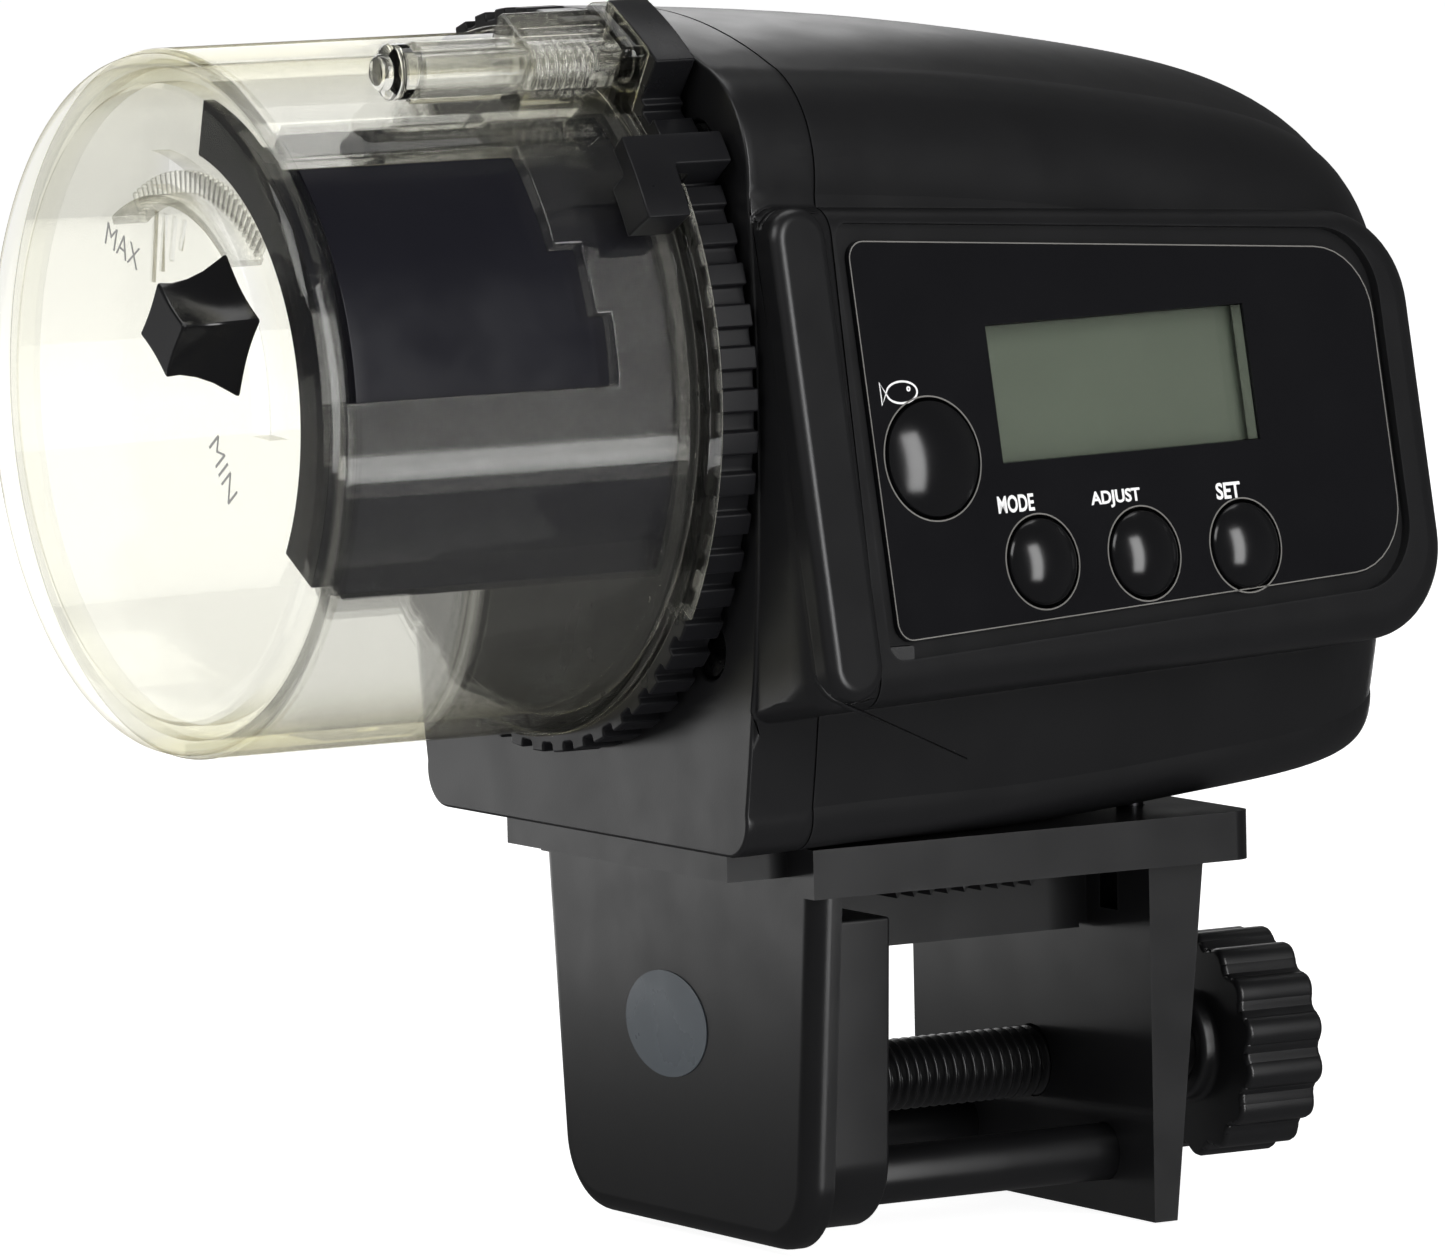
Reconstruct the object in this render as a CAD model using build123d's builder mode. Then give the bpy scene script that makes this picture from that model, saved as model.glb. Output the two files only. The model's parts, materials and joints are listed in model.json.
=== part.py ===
"""Automatic fish feeder: a clear food drum turned by a battery-driven gear train, on a glass-edge clamp.

Everything is drawn with X along the drum's axis (the drum at low X, the body at high X), the control
panel facing -Y and +Z up, with the drum's axis at Y = Z = 0 and the drum's end disc at X = 0.
ORIGIN then moves the finished pieces so that the part's origin is the centre of the rim seat, the face
under the clamp's guide rail that rests on the tank's rim. Angles on the drum are measured about its
axis from the panel side (-Y) up towards +Z. All lengths are in millimetres.
"""
import os
from math import atan2, cos, pi, radians, sin

from build123d import *

os.makedirs("parts", exist_ok=True)

# ---------------------------------------------------------------- driving dimensions
RIM_SEAT = (75.0, 0.0, -52.0)
ORIGIN = Location((-RIM_SEAT[0], -RIM_SEAT[1], -RIM_SEAT[2]))

DRUM_R = 31.0
DRUM_WALL = 1.6
DRUM_BORE_R = DRUM_R - DRUM_WALL
SHELL_X0 = 2.8
SHELL_X1 = 38.4
FLANGE_X0 = 36.8
FLANGE_R = 33.7
CAP_FACE_R = 28.5

SHUTTER_R = 29.0
SHUTTER_WALL = 1.4
SHUTTER_X0 = 4.9
SHUTTER_X1 = 36.4
SLOT_R = 21.0
SLOT_W = 3.0
KNOB_R = 19.0
KNOB_ANGLE = 25.0

PIN_ANGLE = 58.5
PIN_AXIS_R = 34.0
PIN_R = 1.6
PIN_TIP_X = 41.2
SPRING_X0 = 28.1
SPRING_X1 = 34.4

TABLE_X0 = 38.4
TABLE_X1 = 42.4
TABLE_R = 32.2
KNURL_R = 33.0
KNURL_COUNT = 56

BODY_X0 = 43.0
SEAM_X = 50.5
BODY_X1 = 119.5
WALL = 2.0
BODY_BOTTOM = -40.6
PANEL_TURN = 9.0
PANEL_LEAN = 10.0
RECESS_DEPTH = 1.0
PANEL_WALL_DEPTH = 3.0
LCD_CENTRE = (30.6, 3.1)
LCD_SIZE = (30.4, 12.2)
BUTTONS = {
    "feed": ((7.4, -2.0), 5.1),
    "mode": ((18.4, -11.9), 3.85),
    "adjust": ((30.3, -12.1), 3.85),
    "set": ((42.3, -12.3), 3.85),
}
BUTTON_GAP = 0.3
PCB_DEPTH = 10.0
PCB_THICK = 1.2

MODULE = 0.6
WHEEL_TEETH = 48
PINION_TEETH = 10
CENTRES = MODULE * (WHEEL_TEETH + PINION_TEETH) / 2
SHAFT_R = 2.0
AXLE_R = 1.0
PLATE_A_X = (45.0, 46.2)
PLATE_B_X = (59.0, 60.2)

BATTERY_R = 7.2
BATTERY_LEN = 49.7
BATTERY_X0 = 65.0
BATTERY_Y = 12.3
BATTERY_Z = (-26.2, -11.0)
TRAY = (61.6, 115.6, 4.2, 19.7, -34.4, -2.8)
DOOR = (66.0, 112.0, -34.0, -5.0)
DOOR_GAP = 0.2

JAW_X0 = 52.3
JAW_X1 = 55.2
JAW_HALF_W = 24.0
JAW_LOW_W = 21.2
PLATE_HALF_W = 20.3
RAIL_HALF_W = 9.7
JAW_TRAVEL = 25.0
BEAM_TOP = -40.8
BEAM_BOTTOM = -45.2
BEAM_X1 = 98.6
JAW_BOTTOM = -77.4
JAW_CORNER_R = 7.0
JAW_EDGE_R = 1.9
RAIL_BOTTOM = -51.6
SEAT_X = (62.4, 88.8)
PLATE_X = 89.6
MOVING_X0 = 55.5
MOVING_X1 = 61.6
SCREW_Z = -65.2
SCREW_R = 3.3
ROD_Y = 12.0
ROD_Z = -72.2
ROD_R = 2.6
CLAMP_KNOB_X = 106.6
CLAMP_KNOB_LEN = 8.2
CLAMP_KNOB_R = 10.4
FIT = 0.06


# ---------------------------------------------------------------- helpers, private to any builder around them
def arc(*points):
    """A circular edge through three points."""
    return Edge.make_three_point_arc(*points)


def straight(*points):
    """A straight edge."""
    return Edge.make_line(*points)


def push(face, amount, direction=(1, 0, 0)):
    """A face extruded into a solid."""
    return Part(extrude(face, amount=amount, dir=direction, mode=Mode.PRIVATE).wrapped)


def skin_through(faces):
    """A solid lofted through a row of faces."""
    return Part(loft(faces, mode=Mode.PRIVATE).wrapped)


def polar(r, angle, x=0.0):
    """A point on the drum: angle from -Y up towards +Z."""
    return Vector(x, -r * cos(radians(angle)), r * sin(radians(angle)))


def disc(r, x0, x1, y=0.0, z=0.0):
    """A solid cylinder along X."""
    return Pos((x0 + x1) / 2, y, z) * Rot(0, 90, 0) * Cylinder(r, x1 - x0, mode=Mode.PRIVATE)


def tube(r_out, r_in, x0, x1, y=0.0, z=0.0):
    """A hollow cylinder along X."""
    return disc(r_out, x0, x1, y, z) - disc(r_in, x0 - 1, x1 + 1, y, z)


def block(x0, x1, y0, y1, z0, z1):
    """A box given by its limits."""
    return Pos((x0 + x1) / 2, (y0 + y1) / 2, (z0 + z1) / 2) * Box(x1 - x0, y1 - y0, z1 - z0, mode=Mode.PRIVATE)


def sector(r_in, r_out, start, end, x0, x1):
    """A ring sector about the drum's axis."""
    mid = (start + end) / 2
    wire = Wire([
        arc(polar(r_out, start, x0), polar(r_out, mid, x0), polar(r_out, end, x0)),
        straight(polar(r_out, end, x0), polar(r_in, end, x0)),
        arc(polar(r_in, end, x0), polar(r_in, mid, x0), polar(r_in, start, x0)),
        straight(polar(r_in, start, x0), polar(r_out, start, x0)),
    ])
    return push(Face(wire), x1 - x0)


def gear(teeth, x0, x1, centre, phase):
    """A spur gear blank with straight-flanked teeth thinned for running clearance."""
    pitch_r = MODULE * teeth / 2
    step = 2 * pi / teeth
    tip_r, root_r = pitch_r + 0.85 * MODULE, pitch_r - 1.15 * MODULE
    points = []
    for i in range(teeth):
        mid = phase + i * step
        for r, share in ((root_r, -0.34), (tip_r, -0.10), (tip_r, 0.10), (root_r, 0.34)):
            angle = mid + share * step
            points.append((x0, centre[0] + r * cos(angle), centre[1] + r * sin(angle)))
    face = Face(Wire.make_polygon([Vector(*p) for p in points], close=True))
    return push(face, x1 - x0)


def mesh_phase(centre_a, teeth_a, phase_a, centre_b, teeth_b):
    """The phase that puts gear b's gaps on gear a's teeth."""
    line = atan2(centre_b[1] - centre_a[1], centre_b[0] - centre_a[0])
    share_a = (line - phase_a) * teeth_a / (2 * pi)
    return line + pi - (0.5 - share_a) * 2 * pi / teeth_b


def around(centre, r, angle):
    """A point at a distance and angle from a centre in the YZ plane."""
    return (centre[0] + r * cos(radians(angle)), centre[1] + r * sin(radians(angle)))


def body_section(x, near, far, bottom, crest, inset=0.0):
    """Cross-section of the body at x: near and far are the half-widths towards -Y and +Y."""
    shoulder = crest - 4.4 - 0.4 * inset
    near, far = near - inset, far - inset
    bottom, crest = bottom + inset, crest - inset
    low, high = bottom + 4.0, shoulder - 11.0
    mid = (low + high) / 2
    foot = 3.0

    def pt(y, z):
        return Vector(x, y, z)

    edges = [
        straight(pt(-near + foot + 3.2, bottom), pt(far - foot - 3.2, bottom)),
        arc(pt(far - foot - 3.2, bottom), pt(far - foot - 0.8, bottom + 1.1), pt(far - foot, low)),
        arc(pt(far - foot, low), pt(far, mid), pt(far - 0.6, high)),
        arc(pt(far - 0.6, high), pt(far - 2.7, shoulder - 3.2), pt(far - 7.4, shoulder)),
        arc(pt(far - 7.4, shoulder), pt((far - near) / 2, crest), pt(-near + 7.4, shoulder)),
        arc(pt(-near + 7.4, shoulder), pt(-near + 2.7, shoulder - 3.2), pt(-near + 0.6, high)),
        arc(pt(-near + 0.6, high), pt(-near, mid), pt(-near + foot, low)),
        arc(pt(-near + foot, low), pt(-near + foot + 0.8, bottom + 1.1), pt(-near + foot + 3.2, bottom)),
    ]
    return Face(Wire(edges))


def near_width(x):
    """Half-width of the body towards the panel, which turns inwards away from the drum."""
    return 31.3 - 0.150 * (x - BODY_X0)


def far_width(x):
    """Half-width of the body towards the back."""
    return 31.3 - 0.050 * (x - BODY_X0)


def bottom_height(x):
    """Height of the body's flat base, which lifts off the clamp towards its far end."""
    return BODY_BOTTOM + 0.055 * max(0.0, x - 78.0)


def crest_height(x):
    """Height of the body's crowned top, falling away from the drum."""
    t = (x - BODY_X0) / (BODY_X1 - BODY_X0)
    return 32.9 - 2.6 * t - 8.2 * t * t


def body_solid(inset, stations):
    """The body as a loft through its cross-sections."""
    faces = []
    for x, shrink in stations:
        faces.append(body_section(
            x, near_width(x) - shrink, far_width(x) - shrink, bottom_height(x) + 0.5 * shrink,
            crest_height(x) - 1.2 * shrink, inset))
    return skin_through(faces)


def panel_plane(depth=0.0):
    """The pod's front plane, or one parallel to it, deeper inside the body."""
    turn, lean = radians(PANEL_TURN), radians(PANEL_LEAN)
    normal = Vector(sin(turn) * cos(lean), -cos(turn) * cos(lean), sin(lean))
    base = Vector(52.0, -35.2, -4.05)
    return Plane(origin=base - normal * depth, x_dir=Vector(cos(turn), sin(turn), 0), z_dir=normal)


def outline(inset, left, right, corner):
    """The pod's tapering outline in panel coordinates, as a face in the XY plane."""
    points = [
        (left + inset, -23.0 + inset),
        (right - inset, -21.6 + inset),
        (right - inset, 16.6 - inset),
        (left + inset, 21.4 - inset),
    ]
    face = Face(Wire.make_polygon([Vector(u, v, 0) for u, v in points], close=True))
    ends = face.vertices().sort_by(Axis.X)
    face = face.fillet_2d(max(corner - inset, 1.0), ends[-2:])
    return face.fillet_2d(3.0, face.vertices().sort_by(Axis.X)[:2])


def panel_prism(face, depth0, depth1):
    """A face in panel coordinates pushed inwards from depth0 to depth1."""
    placed = panel_plane(depth0).location * face
    return push(placed, depth1 - depth0, -panel_plane().z_dir)


def panel_rect(u, v, w, h, depth0, depth1, corner=0.0):
    """A rectangular prism on the panel."""
    face = Face.make_rect(w, h, Plane(origin=(u, v, 0)))
    if corner:
        face = face.fillet_2d(corner, face.vertices())
    return panel_prism(face, depth0, depth1)


def panel_disc(u, v, r, depth0, depth1):
    """A round prism on the panel."""
    return panel_prism(Face(Wire.make_circle(r, Plane(origin=(u, v, 0)))), depth0, depth1)


def yz_face(x, points, corners, radius):
    """A polygon across the part at x, with some of its corners rounded."""
    face = Face(Wire.make_polygon([Vector(x, y, z) for y, z in points], close=True))
    picked = [v for v in face.vertices() if any(abs(v.Y - y) + abs(v.Z - z) < 0.01 for y, z in corners)]
    return face.fillet_2d(radius, picked)


def jaw_face(x, half_top, half_low, top, bottom, corner=JAW_CORNER_R):
    """The rounded shield shape of both jaws."""
    feet = [(half_low, bottom), (-half_low, bottom)]
    return yz_face(x, [(half_top, top)] + feet + [(-half_top, top)], feet, corner)


def finish(part, name):
    """Name a piece, put it in the part's frame and write it out."""
    placed = part.moved(ORIGIN)
    placed.label = name
    export_step(placed, f"parts/{name}.step")


# ---------------------------------------------------------------- food drum
cap_slot = sector(SLOT_R - SLOT_W / 2, SLOT_R + SLOT_W / 2, -4, 84, -1, 2.4)
cap_slot_ends = [disc(SLOT_W / 2, -1, 2.4, *tuple(polar(SLOT_R, a))[1:]) for a in (-4, 84)]
cap_spigot = tube(DRUM_BORE_R - 0.1, DRUM_BORE_R - 1.3, 1.7, 4.4)
cap_rack = sector(23.4, 25.6, 92, 142, 1.7, 2.6)
rack_gaps = [sector(23.0, 26.0, 93.2 + 2.5 * i, 94.4 + 2.5 * i, 1.75, 3.0) for i in range(20)]

with BuildPart() as drum_end_cap:
    add(disc(DRUM_R - 0.4, 0, SHELL_X0))
    fillet(drum_end_cap.edges().filter_by(GeomType.CIRCLE).sort_by(Axis.X)[0], DRUM_R - 0.4 - CAP_FACE_R)
    add(disc(DRUM_BORE_R - 1.3, 1.8, SHELL_X0 + 1), mode=Mode.SUBTRACT)
    add(cap_spigot)
    add(cap_slot, mode=Mode.SUBTRACT)
    for end in cap_slot_ends:
        add(end, mode=Mode.SUBTRACT)
    add(cap_rack)
    for gap in rack_gaps:
        add(gap, mode=Mode.SUBTRACT)
finish(drum_end_cap.part, "drum_end_cap")

pin_y, pin_z = tuple(polar(PIN_AXIS_R, PIN_ANGLE))[1:]
housing_turn = Pos(0, pin_y, pin_z) * Rot(90 - PIN_ANGLE, 0, 0)
pin_housing = housing_turn * block(26.6, FLANGE_X0, -3.4, 3.4, -3.6, 3.4)
pin_end_plate = housing_turn * block(35.6, SHELL_X1, -4.2, 4.2, -4.0, 3.8)
pin_guide = disc(2.55, 17.2, 27.0, pin_y, pin_z)
guide_web = housing_turn * block(17.2, 27.0, -0.7, 0.7, -3.6, -1.0)
pin_bore = disc(PIN_R + 0.08, 0, 45, pin_y, pin_z)
spring_room = disc(2.5, 28.0, 35.6, pin_y, pin_z)
drum_inside = disc(DRUM_BORE_R, 0, 45)
window = (
    sector(28, 32.5, 3.5, 15.2, 2, 29.5)
    + sector(28, 32.5, 15, 27.2, 2, 28.0)
    + sector(28, 32.5, 27, 46, 2, 25.4)
)
flange_ring = tube(DRUM_R + 0.5, DRUM_BORE_R, FLANGE_X0, SHELL_X1)
flange_tabs = [sector(DRUM_R - 0.5, FLANGE_R, a, a + 69, FLANGE_X0, SHELL_X1) for a in (-35, 145)]

with BuildPart() as drum_shell:
    add(tube(DRUM_R, DRUM_BORE_R, SHELL_X0, SHELL_X1))
    add(flange_ring)
    for tab in flange_tabs:
        add(tab)
    add(pin_housing)
    add(pin_end_plate)
    add(pin_guide)
    add(guide_web)
    add(drum_inside, mode=Mode.SUBTRACT)
    add(pin_bore, mode=Mode.SUBTRACT)
    add(spring_room, mode=Mode.SUBTRACT)
    add(window, mode=Mode.SUBTRACT)
finish(drum_shell.part, "drum_shell")

# ---------------------------------------------------------------- shutter, its knob, lock pin
shutter_skin = sector(SHUTTER_R - SHUTTER_WALL, SHUTTER_R, -33, 56, SHUTTER_X0, SHUTTER_X1)
shutter_web = sector(22.6, 27.6, -33, 76, 2.8, 4.0)
shutter_bridge = sector(26.2, 27.8, -33, 56, 2.8, SHUTTER_X0 + 1.5)
stem_y, stem_z = tuple(polar(SLOT_R, KNOB_ANGLE))[1:]
stem_pad = sector(SLOT_R - 2.4, 23.5, KNOB_ANGLE - 7, KNOB_ANGLE + 7, 2.8, 4.0)

with BuildPart() as shutter:
    add(shutter_skin)
    add(shutter_bridge)
    add(shutter_web)
    add(stem_pad)
    add(disc(1.2, -1.2, 3.0, stem_y, stem_z))
finish(shutter.part, "shutter")

knob_y, knob_z = tuple(polar(KNOB_R, KNOB_ANGLE))[1:]
knob_turn = Pos(0, knob_y, knob_z) * Rot(-KNOB_ANGLE, 0, 0)


def knob_face(x, half_long, half_short, dip):
    """Four-cornered outline with hollow sides, across the knob at x."""
    corners = [Vector(x, half_long, 0), Vector(x, 0, half_short), Vector(x, -half_long, 0), Vector(x, 0, -half_short)]
    edges = []
    for i, corner in enumerate(corners):
        follower = corners[(i + 1) % 4]
        edges.append(arc(corner, (corner + follower) * 0.5 * dip + Vector(x, 0, 0) * (1 - dip), follower))
    return Face(Wire(edges))


knob_body = skin_through([
    knob_face(-0.4, 5.9, 6.6, 0.80),
    knob_face(-3.8, 3.4, 4.6, 0.82),
    knob_face(-7.4, 4.1, 5.4, 0.90),
])
stem_hole = disc(1.2, -1.2, 1, stem_y, stem_z)

with BuildPart() as shutter_knob:
    add(knob_turn * knob_body)
    add(stem_hole, mode=Mode.SUBTRACT)
finish(shutter_knob.part, "shutter_knob")

with BuildPart() as lock_pin:
    add(disc(PIN_R, 13.8, PIN_TIP_X, pin_y, pin_z))
    add(disc(2.5, 14.9, 16.9, pin_y, pin_z))
    add(disc(2.2, SPRING_X1, SPRING_X1 + 1.0, pin_y, pin_z))
    add(disc(1.25, 30, 31, pin_y, pin_z))
    fillet(lock_pin.edges().filter_by(GeomType.CIRCLE).sort_by(Axis.X)[0], 0.5)
    chamfer(lock_pin.edges().filter_by(GeomType.CIRCLE).sort_by(Axis.X)[-1], 0.4)
finish(lock_pin.part, "lock_pin")

SPRING_TURNS = 6
SPRING_WIRE_R = 0.2
spring_len = SPRING_X1 - SPRING_X0 - 2 * SPRING_WIRE_R - 0.05
helix = Helix(pitch=spring_len / SPRING_TURNS, height=spring_len, radius=2.0)
coil = Part(sweep(Plane(helix @ 0, z_dir=helix % 0) * Circle(SPRING_WIRE_R), path=helix, is_frenet=True).wrapped)

with BuildPart() as lock_spring:
    add(Pos(SPRING_X0 + SPRING_WIRE_R, pin_y, pin_z) * Rot(0, 90, 0) * coil)
finish(lock_spring.part, "lock_spring")

# ---------------------------------------------------------------- turntable and output shaft
with BuildSketch(Plane.YZ.offset(TABLE_X0)) as knurl_outline:
    Circle(TABLE_R)
    with PolarLocations(TABLE_R - 0.6, KNURL_COUNT):
        Rectangle(2 * (KNURL_R - TABLE_R + 0.6), 2.0)

catches = []
for start in (27.0, 207.0):
    leg = sector(DRUM_R + 0.6, 35.8, start, start + 8.6, 32.4, FLANGE_X0 - 0.1)
    bar = sector(FLANGE_R + 0.2, 35.8, start + 8.0, start + 13.0, 32.4, TABLE_X1)
    root = sector(31.0, 35.8, start + 8.0, start + 13.0, TABLE_X0 + 0.4, TABLE_X1)
    catches.append(leg + bar + root)
pin_lug = sector(30.0, 37.4, PIN_ANGLE - 7.5, PIN_ANGLE + 7.5, TABLE_X0, TABLE_X1)
lug_hole = disc(PIN_R + 0.3, TABLE_X0 - 1, TABLE_X1 + 1, pin_y, pin_z)

with BuildPart() as turntable:
    extrude(to_extrude=knurl_outline.sketch, amount=TABLE_X1 - TABLE_X0)
    add(disc(28.6, TABLE_X0 + 1.6, TABLE_X1 + 1), mode=Mode.SUBTRACT)
    add(tube(6.5, SHAFT_R, TABLE_X0 + 1.0, 44.4))
    for catch in catches:
        add(catch)
    add(pin_lug)
    add(lug_hole, mode=Mode.SUBTRACT)
    add(disc(SHAFT_R, 39.6, 46), mode=Mode.SUBTRACT)
finish(turntable.part, "turntable")

with BuildPart() as output_shaft:
    add(disc(SHAFT_R, 39.6, 53.4))
    chamfer(output_shaft.edges().filter_by(GeomType.CIRCLE), 0.3)
finish(output_shaft.part, "output_shaft")

with BuildPart() as output_bush:
    add(tube(4.0, SHAFT_R + FIT, 44.7, 46.6))
    add(tube(5.2, SHAFT_R + FIT, 46.4, 47.0))
finish(output_bush.part, "output_bush")

# ---------------------------------------------------------------- gear train
OUTPUT = (0.0, 0.0)
STAGE_2 = around(OUTPUT, CENTRES, -104)
STAGE_1 = around(OUTPUT, CENTRES, -44)
MOTOR = around(STAGE_1, CENTRES, 90)
MAGNET_R = 8.5

phase_out = 0.0
phase_2 = mesh_phase(OUTPUT, WHEEL_TEETH, phase_out, STAGE_2, PINION_TEETH)
phase_1 = mesh_phase(STAGE_2, WHEEL_TEETH, phase_2, STAGE_1, PINION_TEETH)
phase_m = mesh_phase(STAGE_1, WHEEL_TEETH, phase_1, MOTOR, PINION_TEETH)

out_wheel = gear(WHEEL_TEETH, 47.4, 50.0, OUTPUT, phase_out)
with BuildPart() as output_gear:
    add(out_wheel)
    add(disc(4.5, 47.2, 50.8))
    add(disc(SHAFT_R, 47, 52), mode=Mode.SUBTRACT)
    add(disc(1.5, 49.0, 51, MAGNET_R, 0), mode=Mode.SUBTRACT)
finish(output_gear.part, "output_gear")

with BuildPart() as home_magnet:
    add(disc(1.5, 49.0, 50.2, MAGNET_R, 0))
finish(home_magnet.part, "home_magnet")


def compound(centre, phase, pinion_x, wheel_x, hub_x):
    """A pinion and a wheel moulded together, bored for their axle."""
    pinion = gear(PINION_TEETH, pinion_x[0], pinion_x[1], centre, phase)
    wheel = gear(WHEEL_TEETH, wheel_x[0], wheel_x[1], centre, phase)
    hub = disc(2.2, hub_x[0], hub_x[1], *centre)
    bore = disc(AXLE_R + FIT, hub_x[0] - 9, hub_x[1] + 9, *centre)
    return pinion + wheel + hub - bore


stage_2_solid = compound(STAGE_2, phase_2, (47.0, 52.0), (51.4, 53.8), (51.4, 58.6))
stage_1_solid = compound(STAGE_1, phase_1, (51.0, 55.6), (55.2, 57.6), (47.0, 58.6))

with BuildPart() as gear_stage_2:
    add(stage_2_solid)
finish(gear_stage_2.part, "gear_stage_2")

with BuildPart() as gear_stage_1:
    add(stage_1_solid)
finish(gear_stage_1.part, "gear_stage_1")

with BuildPart() as gear_axles:
    for centre in (STAGE_1, STAGE_2):
        add(disc(AXLE_R, PLATE_A_X[0], PLATE_B_X[1], *centre))
finish(gear_axles.part, "gear_axles")

pinion_m = gear(PINION_TEETH, 54.8, 58.4, MOTOR, phase_m)
with BuildPart() as motor_pinion:
    add(pinion_m)
    add(disc(AXLE_R, 54, 59, *MOTOR), mode=Mode.SUBTRACT)
finish(motor_pinion.part, "motor_pinion")

with BuildPart() as motor_shaft:
    add(disc(AXLE_R, 54.6, 61.6, *MOTOR))
finish(motor_shaft.part, "motor_shaft")

MOTOR_X0, MOTOR_X1 = PLATE_B_X[1], PLATE_B_X[1] + 25.0
motor_flats = block(MOTOR_X0, MOTOR_X1, MOTOR[0] - 12, MOTOR[0] + 12, MOTOR[1] - 7.5, MOTOR[1] + 7.5)
with BuildPart() as motor_can:
    add(disc(10.0, MOTOR_X0, MOTOR_X1, *MOTOR))
    add(motor_flats, mode=Mode.INTERSECT)
    add(disc(AXLE_R + FIT, MOTOR_X0 - 1, 62.0, *MOTOR), mode=Mode.SUBTRACT)
    add(disc(2.6, MOTOR_X1, MOTOR_X1 + 1.6, *MOTOR))
finish(motor_can.part, "motor_can")

POSTS = [(-17.5, 3.0), (23.0, 14.0), (-17.0, -30.0), (5.0, -33.5), (-12.0, 18.0)]
BOSSES = [(-22.5, -22.5), (22.5, -22.5), (-22.5, 21.0), (22.5, 22.0)]
plate_outline = block(PLATE_A_X[0], PLATE_A_X[1], -20.0, 25.5, -36.2, 21.0)
corner_cuts = [block(40, 62, 12.0, 30.0, -40, -28.5)]
corner_cuts += [disc(4.0, 44, 48, *boss) for boss in BOSSES]

with BuildPart() as gearbox_plate_a:
    add(plate_outline)
    for cut in corner_cuts:
        add(cut, mode=Mode.SUBTRACT)
    add(disc(4.0, 44, 48), mode=Mode.SUBTRACT)
    for centre in (STAGE_1, STAGE_2):
        add(disc(AXLE_R, 44, 48, *centre), mode=Mode.SUBTRACT)
    for post in POSTS:
        add(disc(1.1, 44, 48, *post), mode=Mode.SUBTRACT)
finish(gearbox_plate_a.part, "gearbox_plate_a")

plate_b_solid = plate_outline.moved(Location((PLATE_B_X[0] - PLATE_A_X[0], 0, 0)))
with BuildPart() as gearbox_plate_b:
    add(plate_b_solid)
    for cut in corner_cuts:
        add(cut, mode=Mode.SUBTRACT)
    add(disc(3.0, 58, 61, *MOTOR), mode=Mode.SUBTRACT)
    for centre in (STAGE_1, STAGE_2):
        add(disc(AXLE_R, 58, 61, *centre), mode=Mode.SUBTRACT)
    for post in POSTS:
        add(disc(1.1, 58, 61, *post), mode=Mode.SUBTRACT)
finish(gearbox_plate_b.part, "gearbox_plate_b")

with BuildPart() as gearbox_posts:
    for post in POSTS:
        add(disc(2.2, PLATE_A_X[1], PLATE_B_X[0], *post))
    for post in POSTS:
        add(disc(1.1, 40, 62, *post), mode=Mode.SUBTRACT)
finish(gearbox_posts.part, "gearbox_posts")

with BuildPart() as gearbox_screws:
    for post in POSTS:
        add(disc(1.1, 49.0, PLATE_B_X[1], *post))
        add(disc(2.1, PLATE_B_X[1], PLATE_B_X[1] + 1.3, *post))
finish(gearbox_screws.part, "gearbox_screws")

with BuildPart() as reed_switch:
    add(block(PLATE_A_X[1], 52.0, 2.2, 14.8, 17.4, 20.0))
finish(reed_switch.part, "reed_switch")

# ---------------------------------------------------------------- body: two shells and a battery door
OUTER = [(43.0, 0.0), (50.0, 0.0), (64.0, 0.0), (80.0, 0.0), (96.0, 0.0), (110.0, 0.6), (116.0, 2.2), (119.5, 5.4)]
INNER = [(45.0, 0.0), (50.0, 0.0), (64.0, 0.0), (80.0, 0.0), (96.0, 0.0), (110.0, 0.8), (117.2, 3.2)]
outer_body = body_solid(0.0, OUTER)
inner_body = body_solid(WALL, INNER)
front_half = block(BODY_X0 + 0.2, 140, -60, 20, -60, 60)
inner_half = block(BODY_X0 + WALL, 140, -60, 20, -60, 60)
pod_block = panel_prism(outline(0.0, -8.8, 66.6, 9.0), 0.0, 20.0)
pod_front = pod_block.faces().sort_by(Axis.Y)[0]
pod_outer = pod_block.fillet(2.8, pod_front.edges()) & front_half
pod_inner = panel_prism(outline(2.4, -8.8, 66.6, 9.0), PANEL_WALL_DEPTH, 24.0) & inner_half
pillar_block = panel_rect(-5.4, -0.8, 6.2, 43.0, -1.3, 2.0, 3.0)
pillar_front = pillar_block.faces().sort_by(Axis.Y)[0]
pillar = pillar_block.fillet(1.2, pillar_front.edges()) & front_half


def panel_area(margin, left, right):
    """The recess's outline, or one inside it for the overlay."""
    points = [(left, -19.3 + margin), (right, -17.2 + margin), (right, 15.0 - margin), (left, 19.2 - margin)]
    face = Face(Wire.make_polygon([Vector(u, v, 0) for u, v in points], close=True))
    face = face.fillet_2d(6.5, face.vertices().sort_by(Axis.X)[-2:])
    return face.fillet_2d(1.6, face.vertices().sort_by(Axis.X)[:2])


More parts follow.
